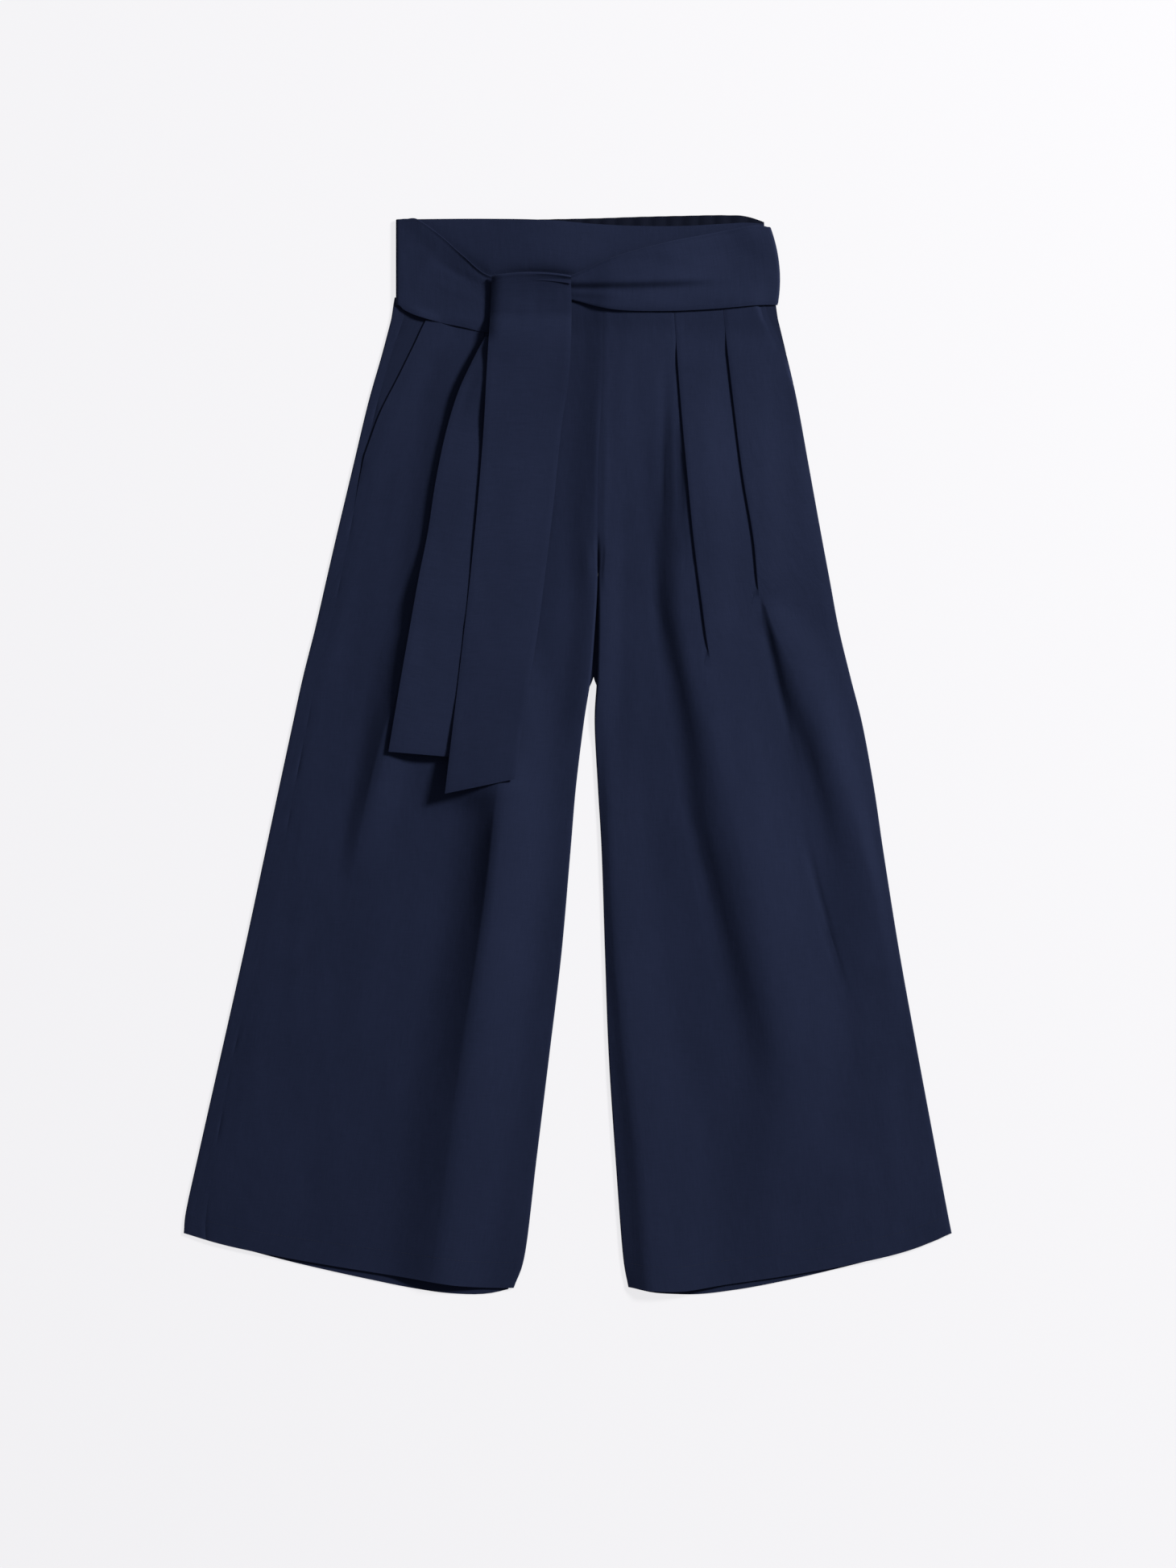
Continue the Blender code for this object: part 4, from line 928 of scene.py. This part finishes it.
def wrap_rows(rows, side, across_count, along_count):
    """Rows along a wrap, each from the side, where it turns down to the floor, to under the knot."""
    stations = np.linspace(0.0, rows.count - 1.0, along_count + 1)
    top, bottom = rows.at("top", stations), rows.at("bottom", stations)
    result = []
    for j in range(across_count + 1):
        share = (j / across_count) ** WRAP_CROWDING
        bulge = rows.at("bulge", stations) * (1 - 4 * (share - BULGE_SHARE) ** 2)
        x = rows.at("x", stations) + side * bulge
        y = top + (bottom - top) * share
        edge_x, edge_y = x[0], y[0]
        from_edge = side * (edge_x - x)
        near = fade(np.abs(x - RIM_X) - RIM_HALF, RIM_FADE)
        rim = (RIM_RISE + RIM_NEAR_KNOT * near) * fade(top - y, RIM_WIDTH)
        rim += TOP_TILT * fade(top - y, TILT_WIDTH)
        z = BELT_LOW_Z + (wrap_relief(x, y) + rim) * (1 - fade(from_edge, WRAP_SIDE_FADE))
        z += ripples(x, y, WRAP_RIPPLES) * (1 - fade(from_edge, RIPPLE_SIDE_FADE))
        turned = [(edge_x, edge_y, BELT_SIDE_END - BELT_SIDE_DROP)]
        for s, down in reversed(arc(BELT_TURN, math.pi / 2)):
            turned.append((edge_x - side * (BELT_TURN - s), edge_y, BELT_LOW_Z - down))
        inside = from_edge > BELT_TURN + BELT_TURN_CLEAR
        result.append(list(enumerate(turned + list(zip(x[inside], y[inside], z[inside])))))
    return result


def shifted(grid, combine):
    """The grid with each cell combined with its eight neighbours."""
    wide = np.pad(grid, 1, mode="edge")
    rows, columns = grid.shape
    return combine([wide[i : i + rows, j : j + columns] for i in range(3) for j in range(3)], axis=0)


def draped(height_at, smoothing=DRAPE_REACH, clearance=BELT_CLEARANCE):
    """The middle height of a belt end over height_at: the greatest height within reach, then smoothed."""
    xs = np.arange(DRAPE_X[0], DRAPE_X[1], DRAPE_CELL)
    ys = np.arange(DRAPE_Y[0], DRAPE_Y[1], DRAPE_CELL)
    grid = np.array([height_at(xs, np.full_like(xs, y)) for y in ys])
    for _ in range(DRAPE_REACH):
        grid = shifted(grid, np.max)
    for _ in range(smoothing):
        grid = shifted(grid, np.mean)

    def read(x, y):
        column, row = (x - xs[0]) / DRAPE_CELL, (y - ys[0]) / DRAPE_CELL
        j = np.clip(np.floor(column).astype(int), 0, len(xs) - 2)
        i = np.clip(np.floor(row).astype(int), 0, len(ys) - 2)
        right, up = column - j, row - i
        right, up = right * right * (3 - 2 * right), up * up * (3 - 2 * up)
        lower = grid[i, j] * (1 - right) + grid[i, j + 1] * right
        upper = grid[i + 1, j] * (1 - right) + grid[i + 1, j + 1] * right
        return lower * (1 - up) + upper * up + clearance + BELT / 2

    return read


def right_leg_top(x, y):
    """Upper side of the right front panel under the belt's ends."""
    pleats = sum(RIGHT.pleat_height(x, y, name, rows) for name, rows in PLEATS.items())
    return LAYER_Z + CLOTH / 2 + RIGHT.fold_height(x, y) + crease_height(x, y, RIGHT.creases) + pleats


def under_front_end(rear_z):
    """Upper side of whatever lies under the belt's front end: the leg, the rear end and the wraps."""
    heights = REAR_END.columns["left_y"]
    low, high = heights.min() - TIP_REACH, heights.max() + DRAPE_CELL

    def top_at(x, y):
        top = right_leg_top(x, y)
        left = REAR_END.straight("left_x", "left_y", y) - DRAPE_CELL
        right = REAR_END.straight("right_x", "right_y", y) + DRAPE_CELL
        over = (y > low) & (y < high) & (x > left) & (x < right)
        top = np.where(over, np.maximum(top, rear_z(x, y) + BELT / 2), top)
        for rows in (RIGHT_WRAP, LEFT_WRAP):
            share = belt_share(rows, x, y)
            on_wrap = (share > UNDER_SHARES[0]) & (share < UNDER_SHARES[1])
            top = np.where(on_wrap, np.maximum(top, BELT_LOW_Z + wrap_relief(x, y) + BELT / 2), top)
        return top

    return top_at


# The twist of the rear end below the knot, and the droop of the front end's left edge beside it
TWIST_REACH = 22.0
TWIST_TOP = 372.0
TWIST_LENGTH = 75.0
TWIST_RISE = 6.0
TWIST_LIFT = 1.0
DROOP = 3.6
DROOP_REACH = 11.0
DROOP_LOW_Y = 382.0
DROOP_FADE = 18.0

# The front end stays level past the end of the rear one, is stiff and nearly level across, most of all below
# the knot and at its tip, and falls from the top of the knot, over a longer way on the left than on the right
TIP_REACH = 60.0
STIFFNESS = 0.92
EVEN_Y = 385.0
EVEN_LENGTH = 85.0
TIP_EVEN = 0.6
TIP_LENGTH = 180.0
CROWN = 5.6
CROWN_TOP = 451.0
CROWN_LENGTHS = (34.0, 14.0)
ARCH_ROWS = 0.8


def end_rows(rows, z_at, across_count, down_count, creases, fine, knot=False):
    """Rows down a belt end, side by side across it."""
    stations = np.linspace(0.0, rows.count - 1.0, down_count + 1)
    left = np.array([rows.at("left_x", stations), rows.at("left_y", stations)])
    right = np.array([rows.at("right_x", stations), rows.at("right_y", stations)])
    shares = np.linspace(0.0, 1.0, across_count + 1)
    resting = np.array([z_at(*(left + (right - left) * share)) for share in shares])
    tilt = resting[-1] - resting[0]
    if knot:
        tilt *= 1 - fade(np.abs(left[1] - EVEN_Y), EVEN_LENGTH)
        tilt *= 1 - TIP_EVEN * fade(left[1], TIP_LENGTH)
    level = resting[0] + tilt * shares[:, None]
    resting += STIFFNESS * (level + (resting - level).max(axis=0) - resting)
    result = []
    for share, z in zip(shares, resting):
        x, y = left + (right - left) * share
        z = z + crease_height(x, y, creases) + ripples(x, y, fine)
        if knot:
            length = CROWN_LENGTHS[0] + (CROWN_LENGTHS[1] - CROWN_LENGTHS[0]) * share
            z = z + CROWN * (1 - np.clip((CROWN_TOP - y) / length, 0.0, 1.0)) ** 2
            at_edge = np.clip(1 - share * np.abs(right[0] - left[0]) / DROOP_REACH, 0.0, 1.0)
            z = z - DROOP * at_edge**2 * (1 - fade(y - DROOP_LOW_Y, DROOP_FADE))
            y = y + KNOT_ARCH * (1 - (2 * share - 1) ** 2) * fade(stations, ARCH_ROWS)
        points = list(zip(x, y, z))
        if knot:
            points = knot_turn(points[0]) + points[1:]
        result.append(list(enumerate(points)))
    return result


def knot_turn(top):
    """The fold over the knot: from the tuck behind it, up round the fold and onto the front."""
    x, y, z = top
    low_z = z - 2 * KNOT_TURN
    turn = [(x, y - KNOT_TURN + s, low_z + up) for s, up in arc(KNOT_TURN, math.pi)]
    return [(x, y - KNOT_TUCK, low_z)] + turn


# The least cosine for a mitred corner, and how much thinner a belt piece is along its sides and at its ends
LEAST_MITRE = 0.5
SOFT_SIDE = 0.4
SOFT_END = 0.5

# Edges that bend by more than this are shaded sharp
SHARP_DEGREES = 50


def points_of(row):
    return np.array([p for _, p in row], float)


def lengths_along(points):
    return np.concatenate([[0.0], np.cumsum(np.linalg.norm(np.diff(points, axis=0), axis=1))])


def moved(rows, across, distances):
    """Each row's points moved out by a distance, with mitred corners along the row."""
    across = np.array(across, float)
    result = []
    for row, reach in zip(rows, distances):
        points = points_of(row)
        normals = np.cross(np.diff(points, axis=0), across)
        normals /= np.linalg.norm(normals, axis=1)[:, None]
        first = np.vstack([normals[:1], normals])
        middle = first + np.vstack([normals, normals[-1:]])
        middle /= np.linalg.norm(middle, axis=1)[:, None]
        mitre = 1 / np.maximum((middle * first).sum(axis=1), LEAST_MITRE)
        result.append(points + middle * (mitre * reach)[:, None])
    return result


def between(keys_a, keys_b, first_a, first_b):
    """Faces between two rows: quads where their keys agree, and triangles where one has more points."""
    i = j = 0
    keys_a, keys_b = [*keys_a, math.inf], [*keys_b, math.inf]
    faces = []
    while keys_a[i + 1] < math.inf or keys_b[j + 1] < math.inf:
        a, b = first_a + i, first_b + j
        if abs(keys_a[i + 1] - keys_b[j + 1]) < SAME_KEY:
            faces.append((a, a + 1, b + 1, b))
            i, j = i + 1, j + 1
        elif keys_a[i + 1] < keys_b[j + 1]:
            faces.append((a, a + 1, b))
            i += 1
        else:
            faces.append((a, b + 1, b))
            j += 1
    return faces


def woven(rows):
    """Two lengths in metres for each point, along its row and from row to row, for the weave to follow."""
    rows = [points_of(row) for row in rows]
    down = lengths_along(np.array([row.mean(axis=0) for row in rows]))
    lengths = [np.column_stack([lengths_along(row), np.full(len(row), v)]) for row, v in zip(rows, down)]
    return np.vstack(lengths) * MM


def wall(name, rows, across, material, thickness=SHELL, raised=None, soft_edges=False):
    """A closed cloth shell round rows of middle points. raised gives extra height on its upper side."""
    keys = [[k for k, _ in row] for row in rows]
    lower = [np.full(len(row), -thickness / 2) for row in rows]
    upper = [np.full(len(row), thickness / 2) for row in rows]
    if raised:
        upper = [u + np.array([raised(*p) for _, p in row]) for u, row in zip(upper, rows)]
    if soft_edges:
        for side in (lower, upper):
            side[0] *= SOFT_SIDE
            side[-1] *= SOFT_SIDE
            for reach in side:
                reach[[0, -1]] *= SOFT_END
    sides = moved(rows, across, upper) + moved(rows, across, lower)
    points = np.vstack(sides) - MIDDLE
    starts = np.cumsum([0] + [len(side) for side in sides])
    count = len(rows)
    faces = []
    for base, flip in ((0, False), (count, True)):
        for i in range(count - 1):
            for face in between(keys[i], keys[i + 1], starts[base + i], starts[base + i + 1]):
                faces.append(face[::-1] if flip else face)
    rim = [starts[0] + k for k in range(len(rows[0]))]
    rim += [starts[i] + len(rows[i]) - 1 for i in range(1, count)]
    rim += [starts[count - 1] + k for k in range(len(rows[-1]) - 2, -1, -1)]
    rim += [starts[i] for i in range(count - 2, 0, -1)]
    offset = starts[count]
    faces += [(a, a + offset, b + offset, b) for a, b in zip(rim, rim[1:] + rim[:1])]
    uv = np.vstack([woven(rows)] * 2)
    return finish_piece(name, points, faces, material, uv)


def add_object(name, data):
    made = bpy.data.objects.new(name, data)
    bpy.context.scene.collection.objects.link(made)
    return made


def finish_piece(name, points, faces, material, uv=None):
    """A smooth-shaded mesh object from points in millimetres."""
    mesh = bpy.data.meshes.new(name)
    mesh.from_pydata((points * MM).tolist(), [], [[int(v) for v in face] for face in faces])
    if uv is not None:
        corners = np.empty(len(mesh.loops), np.int32)
        mesh.loops.foreach_get("vertex_index", corners)
        mesh.uv_layers.new(name="weave").data.foreach_set("uv", uv[corners].ravel())
    work = bmesh.new()
    work.from_mesh(mesh)
    bmesh.ops.recalc_face_normals(work, faces=work.faces)
    work.to_mesh(mesh)
    work.free()
    mesh.shade_smooth()
    mesh.set_sharp_from_angle(angle=math.radians(SHARP_DEGREES))
    mesh.materials.append(material)
    return add_object(name, mesh)


# Hem stitches, and how thick each one is at shares of its length
STITCH_PITCH = 3.2
STITCH_LENGTH = 2.3
STITCH_RADIUS = 0.15
STITCH_FLATNESS = 0.7
STITCH_START = 0.4
STITCH_SIDES = 6
STITCH_SWELLS = ((0.0, 0.35), (0.22, 1.0), (0.78, 1.0), (1.0, 0.35))


def stitches(name, line, material):
    """Short thread stitches along a line of surface points, each half sunk into the cloth."""
    points, faces = [], []
    along = lengths_along(line)
    for start in np.arange(STITCH_START, along[-1] - STITCH_LENGTH, STITCH_PITCH):
        ends = (start, start + STITCH_LENGTH)
        first, last = np.transpose([np.interp(ends, along, line[:, i]) for i in range(3)])
        way = (last - first) / np.linalg.norm(last - first)
        side = np.cross(way, (0, 0, 1))
        side /= np.linalg.norm(side)
        up = np.cross(side, way) * STITCH_FLATNESS
        base = len(points)
        for share, swell in STITCH_SWELLS:
            for k in range(STITCH_SIDES):
                angle = math.tau * k / STITCH_SIDES
                offset = side * math.cos(angle) + up * math.sin(angle)
                points.append(first + (last - first) * share + offset * STITCH_RADIUS * swell)
        rings = [range(k, k + STITCH_SIDES) for k in range(base, len(points), STITCH_SIDES)]
        for low, high in zip(rings, rings[1:]):
            faces += [(low[k], low[k + 1], high[k + 1], high[k]) for k in range(-1, STITCH_SIDES - 1)]
        faces += [rings[0][::-1], rings[-1]]
    return finish_piece(name, np.array(points) - MIDDLE, faces, material)


# Cloth: a fine twill in navy, with a slight slub along the legs and a faint sheen
NAVY_SHADES = ((0.0095, 0.0140, 0.0350), (0.0112, 0.0160, 0.0400), (0.0128, 0.0180, 0.0446))
SLUB_RANGE = {"From Min": 1.05, "From Max": 1.95}
TWILL = {
    "Roughness": 0.82,
    "Specular IOR Level": 0.06,
    "Sheen Weight": 0.02,
    "Sheen Roughness": 0.45,
    "Sheen Tint": (0.55, 0.65, 1.0, 1.0),
}
# Painted shade: the pocket facings take a darker copy of the cloth, for the shade of their recess under the
# pocket mouth and the belt
SHADED_TINT = 0.9
# Painted shade: the gathered back band takes a much darker copy of the cloth, for the shade under the front
# band
BACK_BAND_SHADE_TINT = 0.35
THREAD_SHADES = ((0.00595, 0.00805, 0.01925), (0.0085, 0.0115, 0.0275))
THREAD = {"Roughness": 0.6, "Specular IOR Level": 0.3}


def set_sockets(made, values):
    for name, value in values.items():
        made.inputs[name].default_value = value
    return made


def node(tree, kind, sources=(), **values):
    """A new node, with its sources linked to its sockets."""
    made = set_sockets(tree.nodes.new(kind), values)
    for socket, source in dict(sources).items():
        tree.links.new(source, made.inputs[socket])
    return made


def new_material(name, values):
    """A material, its node tree and its shader."""
    material = bpy.data.materials.new(name)
    material.use_nodes = True
    return material, material.node_tree, set_sockets(material.node_tree.nodes["Principled BSDF"], values)


def shaded(tree, source, shades):
    """A colour ramp with its shades evenly spread."""
    made = node(tree, "ShaderNodeValToRGB", {"Fac": source})
    stops = made.color_ramp.elements
    for k in range(1, len(shades) - 1):
        stops.new(k / (len(shades) - 1))
    for stop, shade in zip(stops, shades):
        stop.color = (*shade, 1.0)
    return made.outputs["Color"]


def fabric(name, tint=1.0):
    material, tree, shader = new_material(name, TWILL)
    place = node(tree, "ShaderNodeTexCoord").outputs["UV"]

    def texture(kind, scale=(1.0, 1.0), turn=0.0, **values):
        turned = (0.0, 0.0, math.radians(turn))
        mapping = node(tree, "ShaderNodeMapping", {"Vector": place}, Scale=(*scale, 1.0), Rotation=turned)
        return node(tree, f"ShaderNodeTex{kind}", {"Vector": mapping.outputs["Vector"]}, **values)

    def uneven(scale, detail, roughness):
        return texture("Noise", scale, Scale=1.0, Detail=detail, Roughness=roughness).outputs["Fac"]

    def combined(operation, first, second):
        made = node(tree, "ShaderNodeMath", {0: first, 1: second})
        made.operation = operation
        return made.outputs["Value"]

    # Colour: long streaks along the warp, short ones along the weft, and broad soft patches
    slub = uneven((1300.0, 45.0), 2.0, 0.6)
    weft = uneven((60.0, 1500.0), 2.0, 0.6)
    patch = uneven((14.0, 9.0), 3.0, 0.55)
    whole = combined("ADD", combined("ADD", slub, weft), patch)
    spread = node(tree, "ShaderNodeMapRange", {"Value": whole}, **SLUB_RANGE)
    # A tint below 1 darkens the cloth: painted shade, for the darker copies of it
    shades = [[c * tint for c in shade] for shade in NAVY_SHADES]
    tree.links.new(shaded(tree, spread.outputs["Result"], shades), shader.inputs["Base Color"])

    # Bump: the twill's diagonal wales, broken by the warp's threads, and the cloth's own slack
    wale = texture("Wave", turn=27.0, Scale=430.0, Distortion=0.6, **{"Detail Scale": 2.0})
    warp = texture("Wave", Scale=760.0, Distortion=0.3)
    warp.bands_direction = "Y"
    weave = combined("MULTIPLY", wale.outputs["Fac"], warp.outputs["Fac"])
    slack = uneven((150.0, 70.0), 3.0, 0.5)
    fine = node(tree, "ShaderNodeBump", {"Height": weave}, Strength=0.28, Distance=0.00022)
    sources = {"Height": slack, "Normal": fine.outputs["Normal"]}
    broad = node(tree, "ShaderNodeBump", sources, Strength=0.22, Distance=0.0011)
    tree.links.new(broad.outputs["Normal"], shader.inputs["Normal"])
    return material


def thread_material():
    material, tree, shader = new_material("thread", THREAD)
    place = node(tree, "ShaderNodeTexCoord").outputs["Object"]
    twist = node(tree, "ShaderNodeTexWave", {"Vector": place}, Scale=900.0)
    tree.links.new(shaded(tree, twist.outputs["Fac"], THREAD_SHADES), shader.inputs["Base Color"])
    return material


def declare(piece, replaced):
    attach(piece, "root")
    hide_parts(replaced)


# How far above the hem its stitches run, and how far inside the leg's inner and outer edges they keep
HEM_UP = 19.0
FRONT_HEM_INSETS = (5.0, 3.0)
BACK_HEM_INSETS = (8.0, 8.0)


def hem_line(leg, row_at, insets, side):
    """Surface points of a hem's stitch line on the flat part of the section, inside both turned edges."""
    drop = np.diff(leg.outline.columns["outer_y"])[-1]
    raised = leg.outline.count - 1.0 - HEM_UP / abs(drop)
    inner_x, width = leg.outline.at("inner_x", raised), leg.width(raised)
    points = points_of(row_at(raised))
    outward = leg.side * (points[:, 0] - inner_x)
    kept = (outward > insets[0]) & (outward < width - insets[1])
    return points[kept] + (0, 0, side * SHELL / 2)


def make_legs(cloth, thread):
    """Both legs' panels with their hem stitches. Returns each side's front and back."""
    made = {}
    for leg, side, columns, outer_edge, back_row, back_width, back_area in (
        (LEFT, "left", LEFT_COLUMNS, left_outer_edge, back_row_left, 0.32, 0.223),
        (RIGHT, "right", RIGHT_COLUMNS, right_outer_edge, back_row_right, 0.36, 0.262),
    ):

        def front_at(station):
            return front_row(leg, station, columns, outer_edge)

        def back_at(station):
            return back_row(leg, station)

        stations = stations_of(leg.outline)
        across = (0, leg.side, 0)
        front = wall(f"cloth_front_leg_{side}", [front_at(s) for s in stations], across, cloth)
        back = wall(f"cloth_back_leg_{side}", [back_at(s) for s in stations], across, cloth)
        front_line = hem_line(leg, front_at, FRONT_HEM_INSETS, 1)
        back_line = hem_line(leg, back_at, BACK_HEM_INSETS, -1)
        front_hem = stitches(f"hem_stitches_front_{side}", front_line, thread)
        back_hem = stitches(f"hem_stitches_back_{side}", back_line, thread)
        for hem in (front_hem, back_hem):
            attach(hem, "root")
        declare(front, f"front_leg_{side}")
        declare(back, f"back_leg_{side}")
        made[side] = (front, back)
    return made


def make_pockets(cloth):
    for leg, side, row_at, end, flat, area in (
        (RIGHT, "right", facing_row_right, RIGHT_POCKET_END, (0.05, 0.15), 0.0034),
        (LEFT, "left", facing_row_left, LEFT_POCKET_END, (0.023, 0.047), 0.00083),
    ):
        rows = [row_at(leg, s) for s in stations_of(leg.outline, 0.0, end)]
        # cloth here is the darker copy: painted shade in the recess of the pocket
        facing = wall(f"cloth_pocket_facing_{side}", rows, (0, 1, 0), cloth)
        declare(facing, f"pocket_facing_{side}")


# Points and rows of the waistband's cloth. Then ripples, as above, of the front, of the gathers' places and of
# their heights, the gathers' mean height as a share of the greatest, and how sharp they are
BAND_POINTS = 90
BAND_ROWS = 60
GATHER_POINTS = 12
GATHER_ROWS = 20
BAND_RIPPLE = (0.15, 22.0, 15.0)
GATHER_SHIFT = (0.16, 30.0, 40.0)
GATHER_UNEVEN = (0.3, 9.0, 25.0, 2.0)
GATHER_HEIGHT = 0.8
GATHER_SHARP = 0.8


def make_waistband(cloth, inside):
    start = RIGHT_WRAP.columns["x"][0] + RIGHT_BAND_INSET
    stop = LEFT_WRAP.columns["x"][0] - LEFT_BAND_INSET
    pitch = (stop - start) / GATHERS

    def band(side, count, row_count, z, material, raised):
        xs = np.linspace(start, stop, count)
        rows = [band_row(xs, side, share, z) for share in np.linspace(0.0, 1.0, row_count)]
        return wall(f"cloth_waistband_{side}", rows, (0, 1, 0), material, raised=raised)

    def drawn_in(x, y, _):
        return band_rise(x, y) + noise_at(x, y, *BAND_RIPPLE)

    def gathered(x, y, _):
        phase = (x - start) / pitch + noise_at(x, y, *GATHER_SHIFT)
        tuck = (0.5 - 0.5 * math.cos(math.tau * phase)) ** GATHER_SHARP
        return GATHER_RISE * tuck * (GATHER_HEIGHT + noise_at(x, y, *GATHER_UNEVEN))

    front = band("front", BAND_POINTS, BAND_ROWS, FRONT_BAND_Z, cloth, drawn_in)
    # The back band is made in the darker cloth: painted shade under the front band
    back = band("back", GATHER_POINTS * GATHERS + 1, GATHER_ROWS, FLOOR_Z, inside, gathered)
    declare(back, "waistband_back")
    declare(front, "waistband_front")
    return front


# Rows across and points along each belt piece, and how softly the front end lies on what is under it
WRAP_COUNTS = {"right": (40, 60), "left": (40, 100)}
REAR_END_COUNTS = (24, 130)
FRONT_END_COUNTS = (26, 160)
FRONT_END_SMOOTHING = 10
FRONT_END_CLEARANCE = 0.5


def make_belt(cloth, waistband):
    def belt(name, rows, across):
        return wall(f"cloth_belt_{name}", rows, across, cloth, BELT_SHELL, soft_edges=True)

    right = belt("wrap_right", wrap_rows(RIGHT_WRAP, -1, *WRAP_COUNTS["right"]), (0, 1, 0))
    left = belt("wrap_left", wrap_rows(LEFT_WRAP, 1, *WRAP_COUNTS["left"]), (0, -1, 0))
    resting_z = draped(lambda x, y: right_leg_top(x, y) + REAR_END_LIFT)

    def rear_z(x, y):
        """The rear end twists as it leaves the knot, so its hidden edge stands up under the front end."""
        inside = np.clip((x - REAR_END.straight("left_x", "left_y", y)) / TWIST_REACH, 0.0, 1.0)
        return resting_z(x, y) + (TWIST_RISE * inside + TWIST_LIFT) * fade(TWIST_TOP - y, TWIST_LENGTH)

    lying_z = draped(under_front_end(rear_z), FRONT_END_SMOOTHING, FRONT_END_CLEARANCE)

    def front_z(x, y):
        """The front end lies on what is under it, and is lifted by its fold over the knot."""
        return lying_z(x, y) + 2 * KNOT_TURN * fade(KNOT_LOW_Y - y, KNOT_FADE)

    rear_rows = end_rows(REAR_END, rear_z, *REAR_END_COUNTS, REAR_END_CREASES, REAR_END_RIPPLES)
    front_rows = end_rows(FRONT_END, front_z, *FRONT_END_COUNTS, FRONT_END_CREASES, FRONT_END_RIPPLES, True)
    rear = belt("end_rear", rear_rows, (1, 0, 0))
    front = belt("end_front", front_rows, (1, 0, 0))
    declare(right, "belt_wrap_right")
    declare(left, "belt_wrap_left")
    declare(rear, "belt_end_rear")
    declare(front, "belt_end_front")


# The studio, in metres. The camera looks straight down from above, as the photograph's did.
FLOOR_REACH = 6.0
FLOOR_DROP = 0.0003
FLOOR_CORNERS = ((-1, -1), (1, -1), (1, 1), (-1, 1))
PALE_FLOOR = {
    "Base Color": (0.14, 0.14, 0.145, 1.0),
    "Roughness": 0.95,
    "Specular IOR Level": 0.0,
    "Emission Color": (0.985, 0.977, 1.0, 1.0),
    "Emission Strength": 0.797,
}
STUDIO_AIR = {"Color": (0.96, 0.97, 1.0, 1.0), "Strength": 0.2}
KEY_LIGHT = {"shape": "DISK", "size": 1.01, "energy": 335.0, "color": (1.0, 0.985, 0.96)}
KEY_AZIMUTH = math.radians(32)
KEY_ELEVATION = math.radians(33)
KEY_DISTANCE = 4.8
LENS = {"sensor_fit": "VERTICAL", "sensor_height": 36.0, "lens": 100.0, "clip_end": 50.0}
CAMERA_X = 0.01925
CAMERA_Y = -0.0284
CAMERA_Z = 4.108


def set_all(data, values):
    for name, value in values.items():
        setattr(data, name, value)
    return data


def make_stage():
    """A plain pale floor, soft light from the upper right, and the photograph's camera straight above."""
    scene = bpy.context.scene
    mesh = bpy.data.meshes.new("floor")
    corners = [(x * FLOOR_REACH, y * FLOOR_REACH, -FLOOR_DROP) for x, y in FLOOR_CORNERS]
    mesh.from_pydata(corners, [], [(0, 1, 2, 3)])
    mesh.materials.append(new_material("pale_floor", PALE_FLOOR)[0])
    add_object("floor", mesh)

    scene.world = bpy.data.worlds.new("studio")
    scene.world.use_nodes = True
    set_sockets(scene.world.node_tree.nodes["Background"], STUDIO_AIR)

    key = add_object("key", set_all(bpy.data.lights.new("key", "AREA"), KEY_LIGHT))
    towards = Vector((math.cos(KEY_AZIMUTH), math.sin(KEY_AZIMUTH), math.tan(KEY_ELEVATION)))
    key.location = towards.normalized() * KEY_DISTANCE
    key.rotation_euler = towards.to_track_quat("Z", "Y").to_euler()

    scene.camera = add_object("camera", set_all(bpy.data.cameras.new("camera"), LENS))
    scene.camera.location = (CAMERA_X, CAMERA_Y, CAMERA_Z)
    scene.view_settings.view_transform = "Standard"
    scene.view_settings.look = "None"


def main():
    make_stage()
    cloth = fabric("navy_twill")
    # Painted shade for the pocket facings: a darker copy of the cloth
    under = fabric("navy_twill_shaded", SHADED_TINT)
    # Painted shade for the gathered back band, under the front band: a much darker copy of the cloth
    inside = fabric("navy_twill_back_band_shade", BACK_BAND_SHADE_TINT)
    legs = make_legs(cloth, thread_material())
    make_pockets(under)
    make_belt(cloth, make_waistband(cloth, inside))


main()
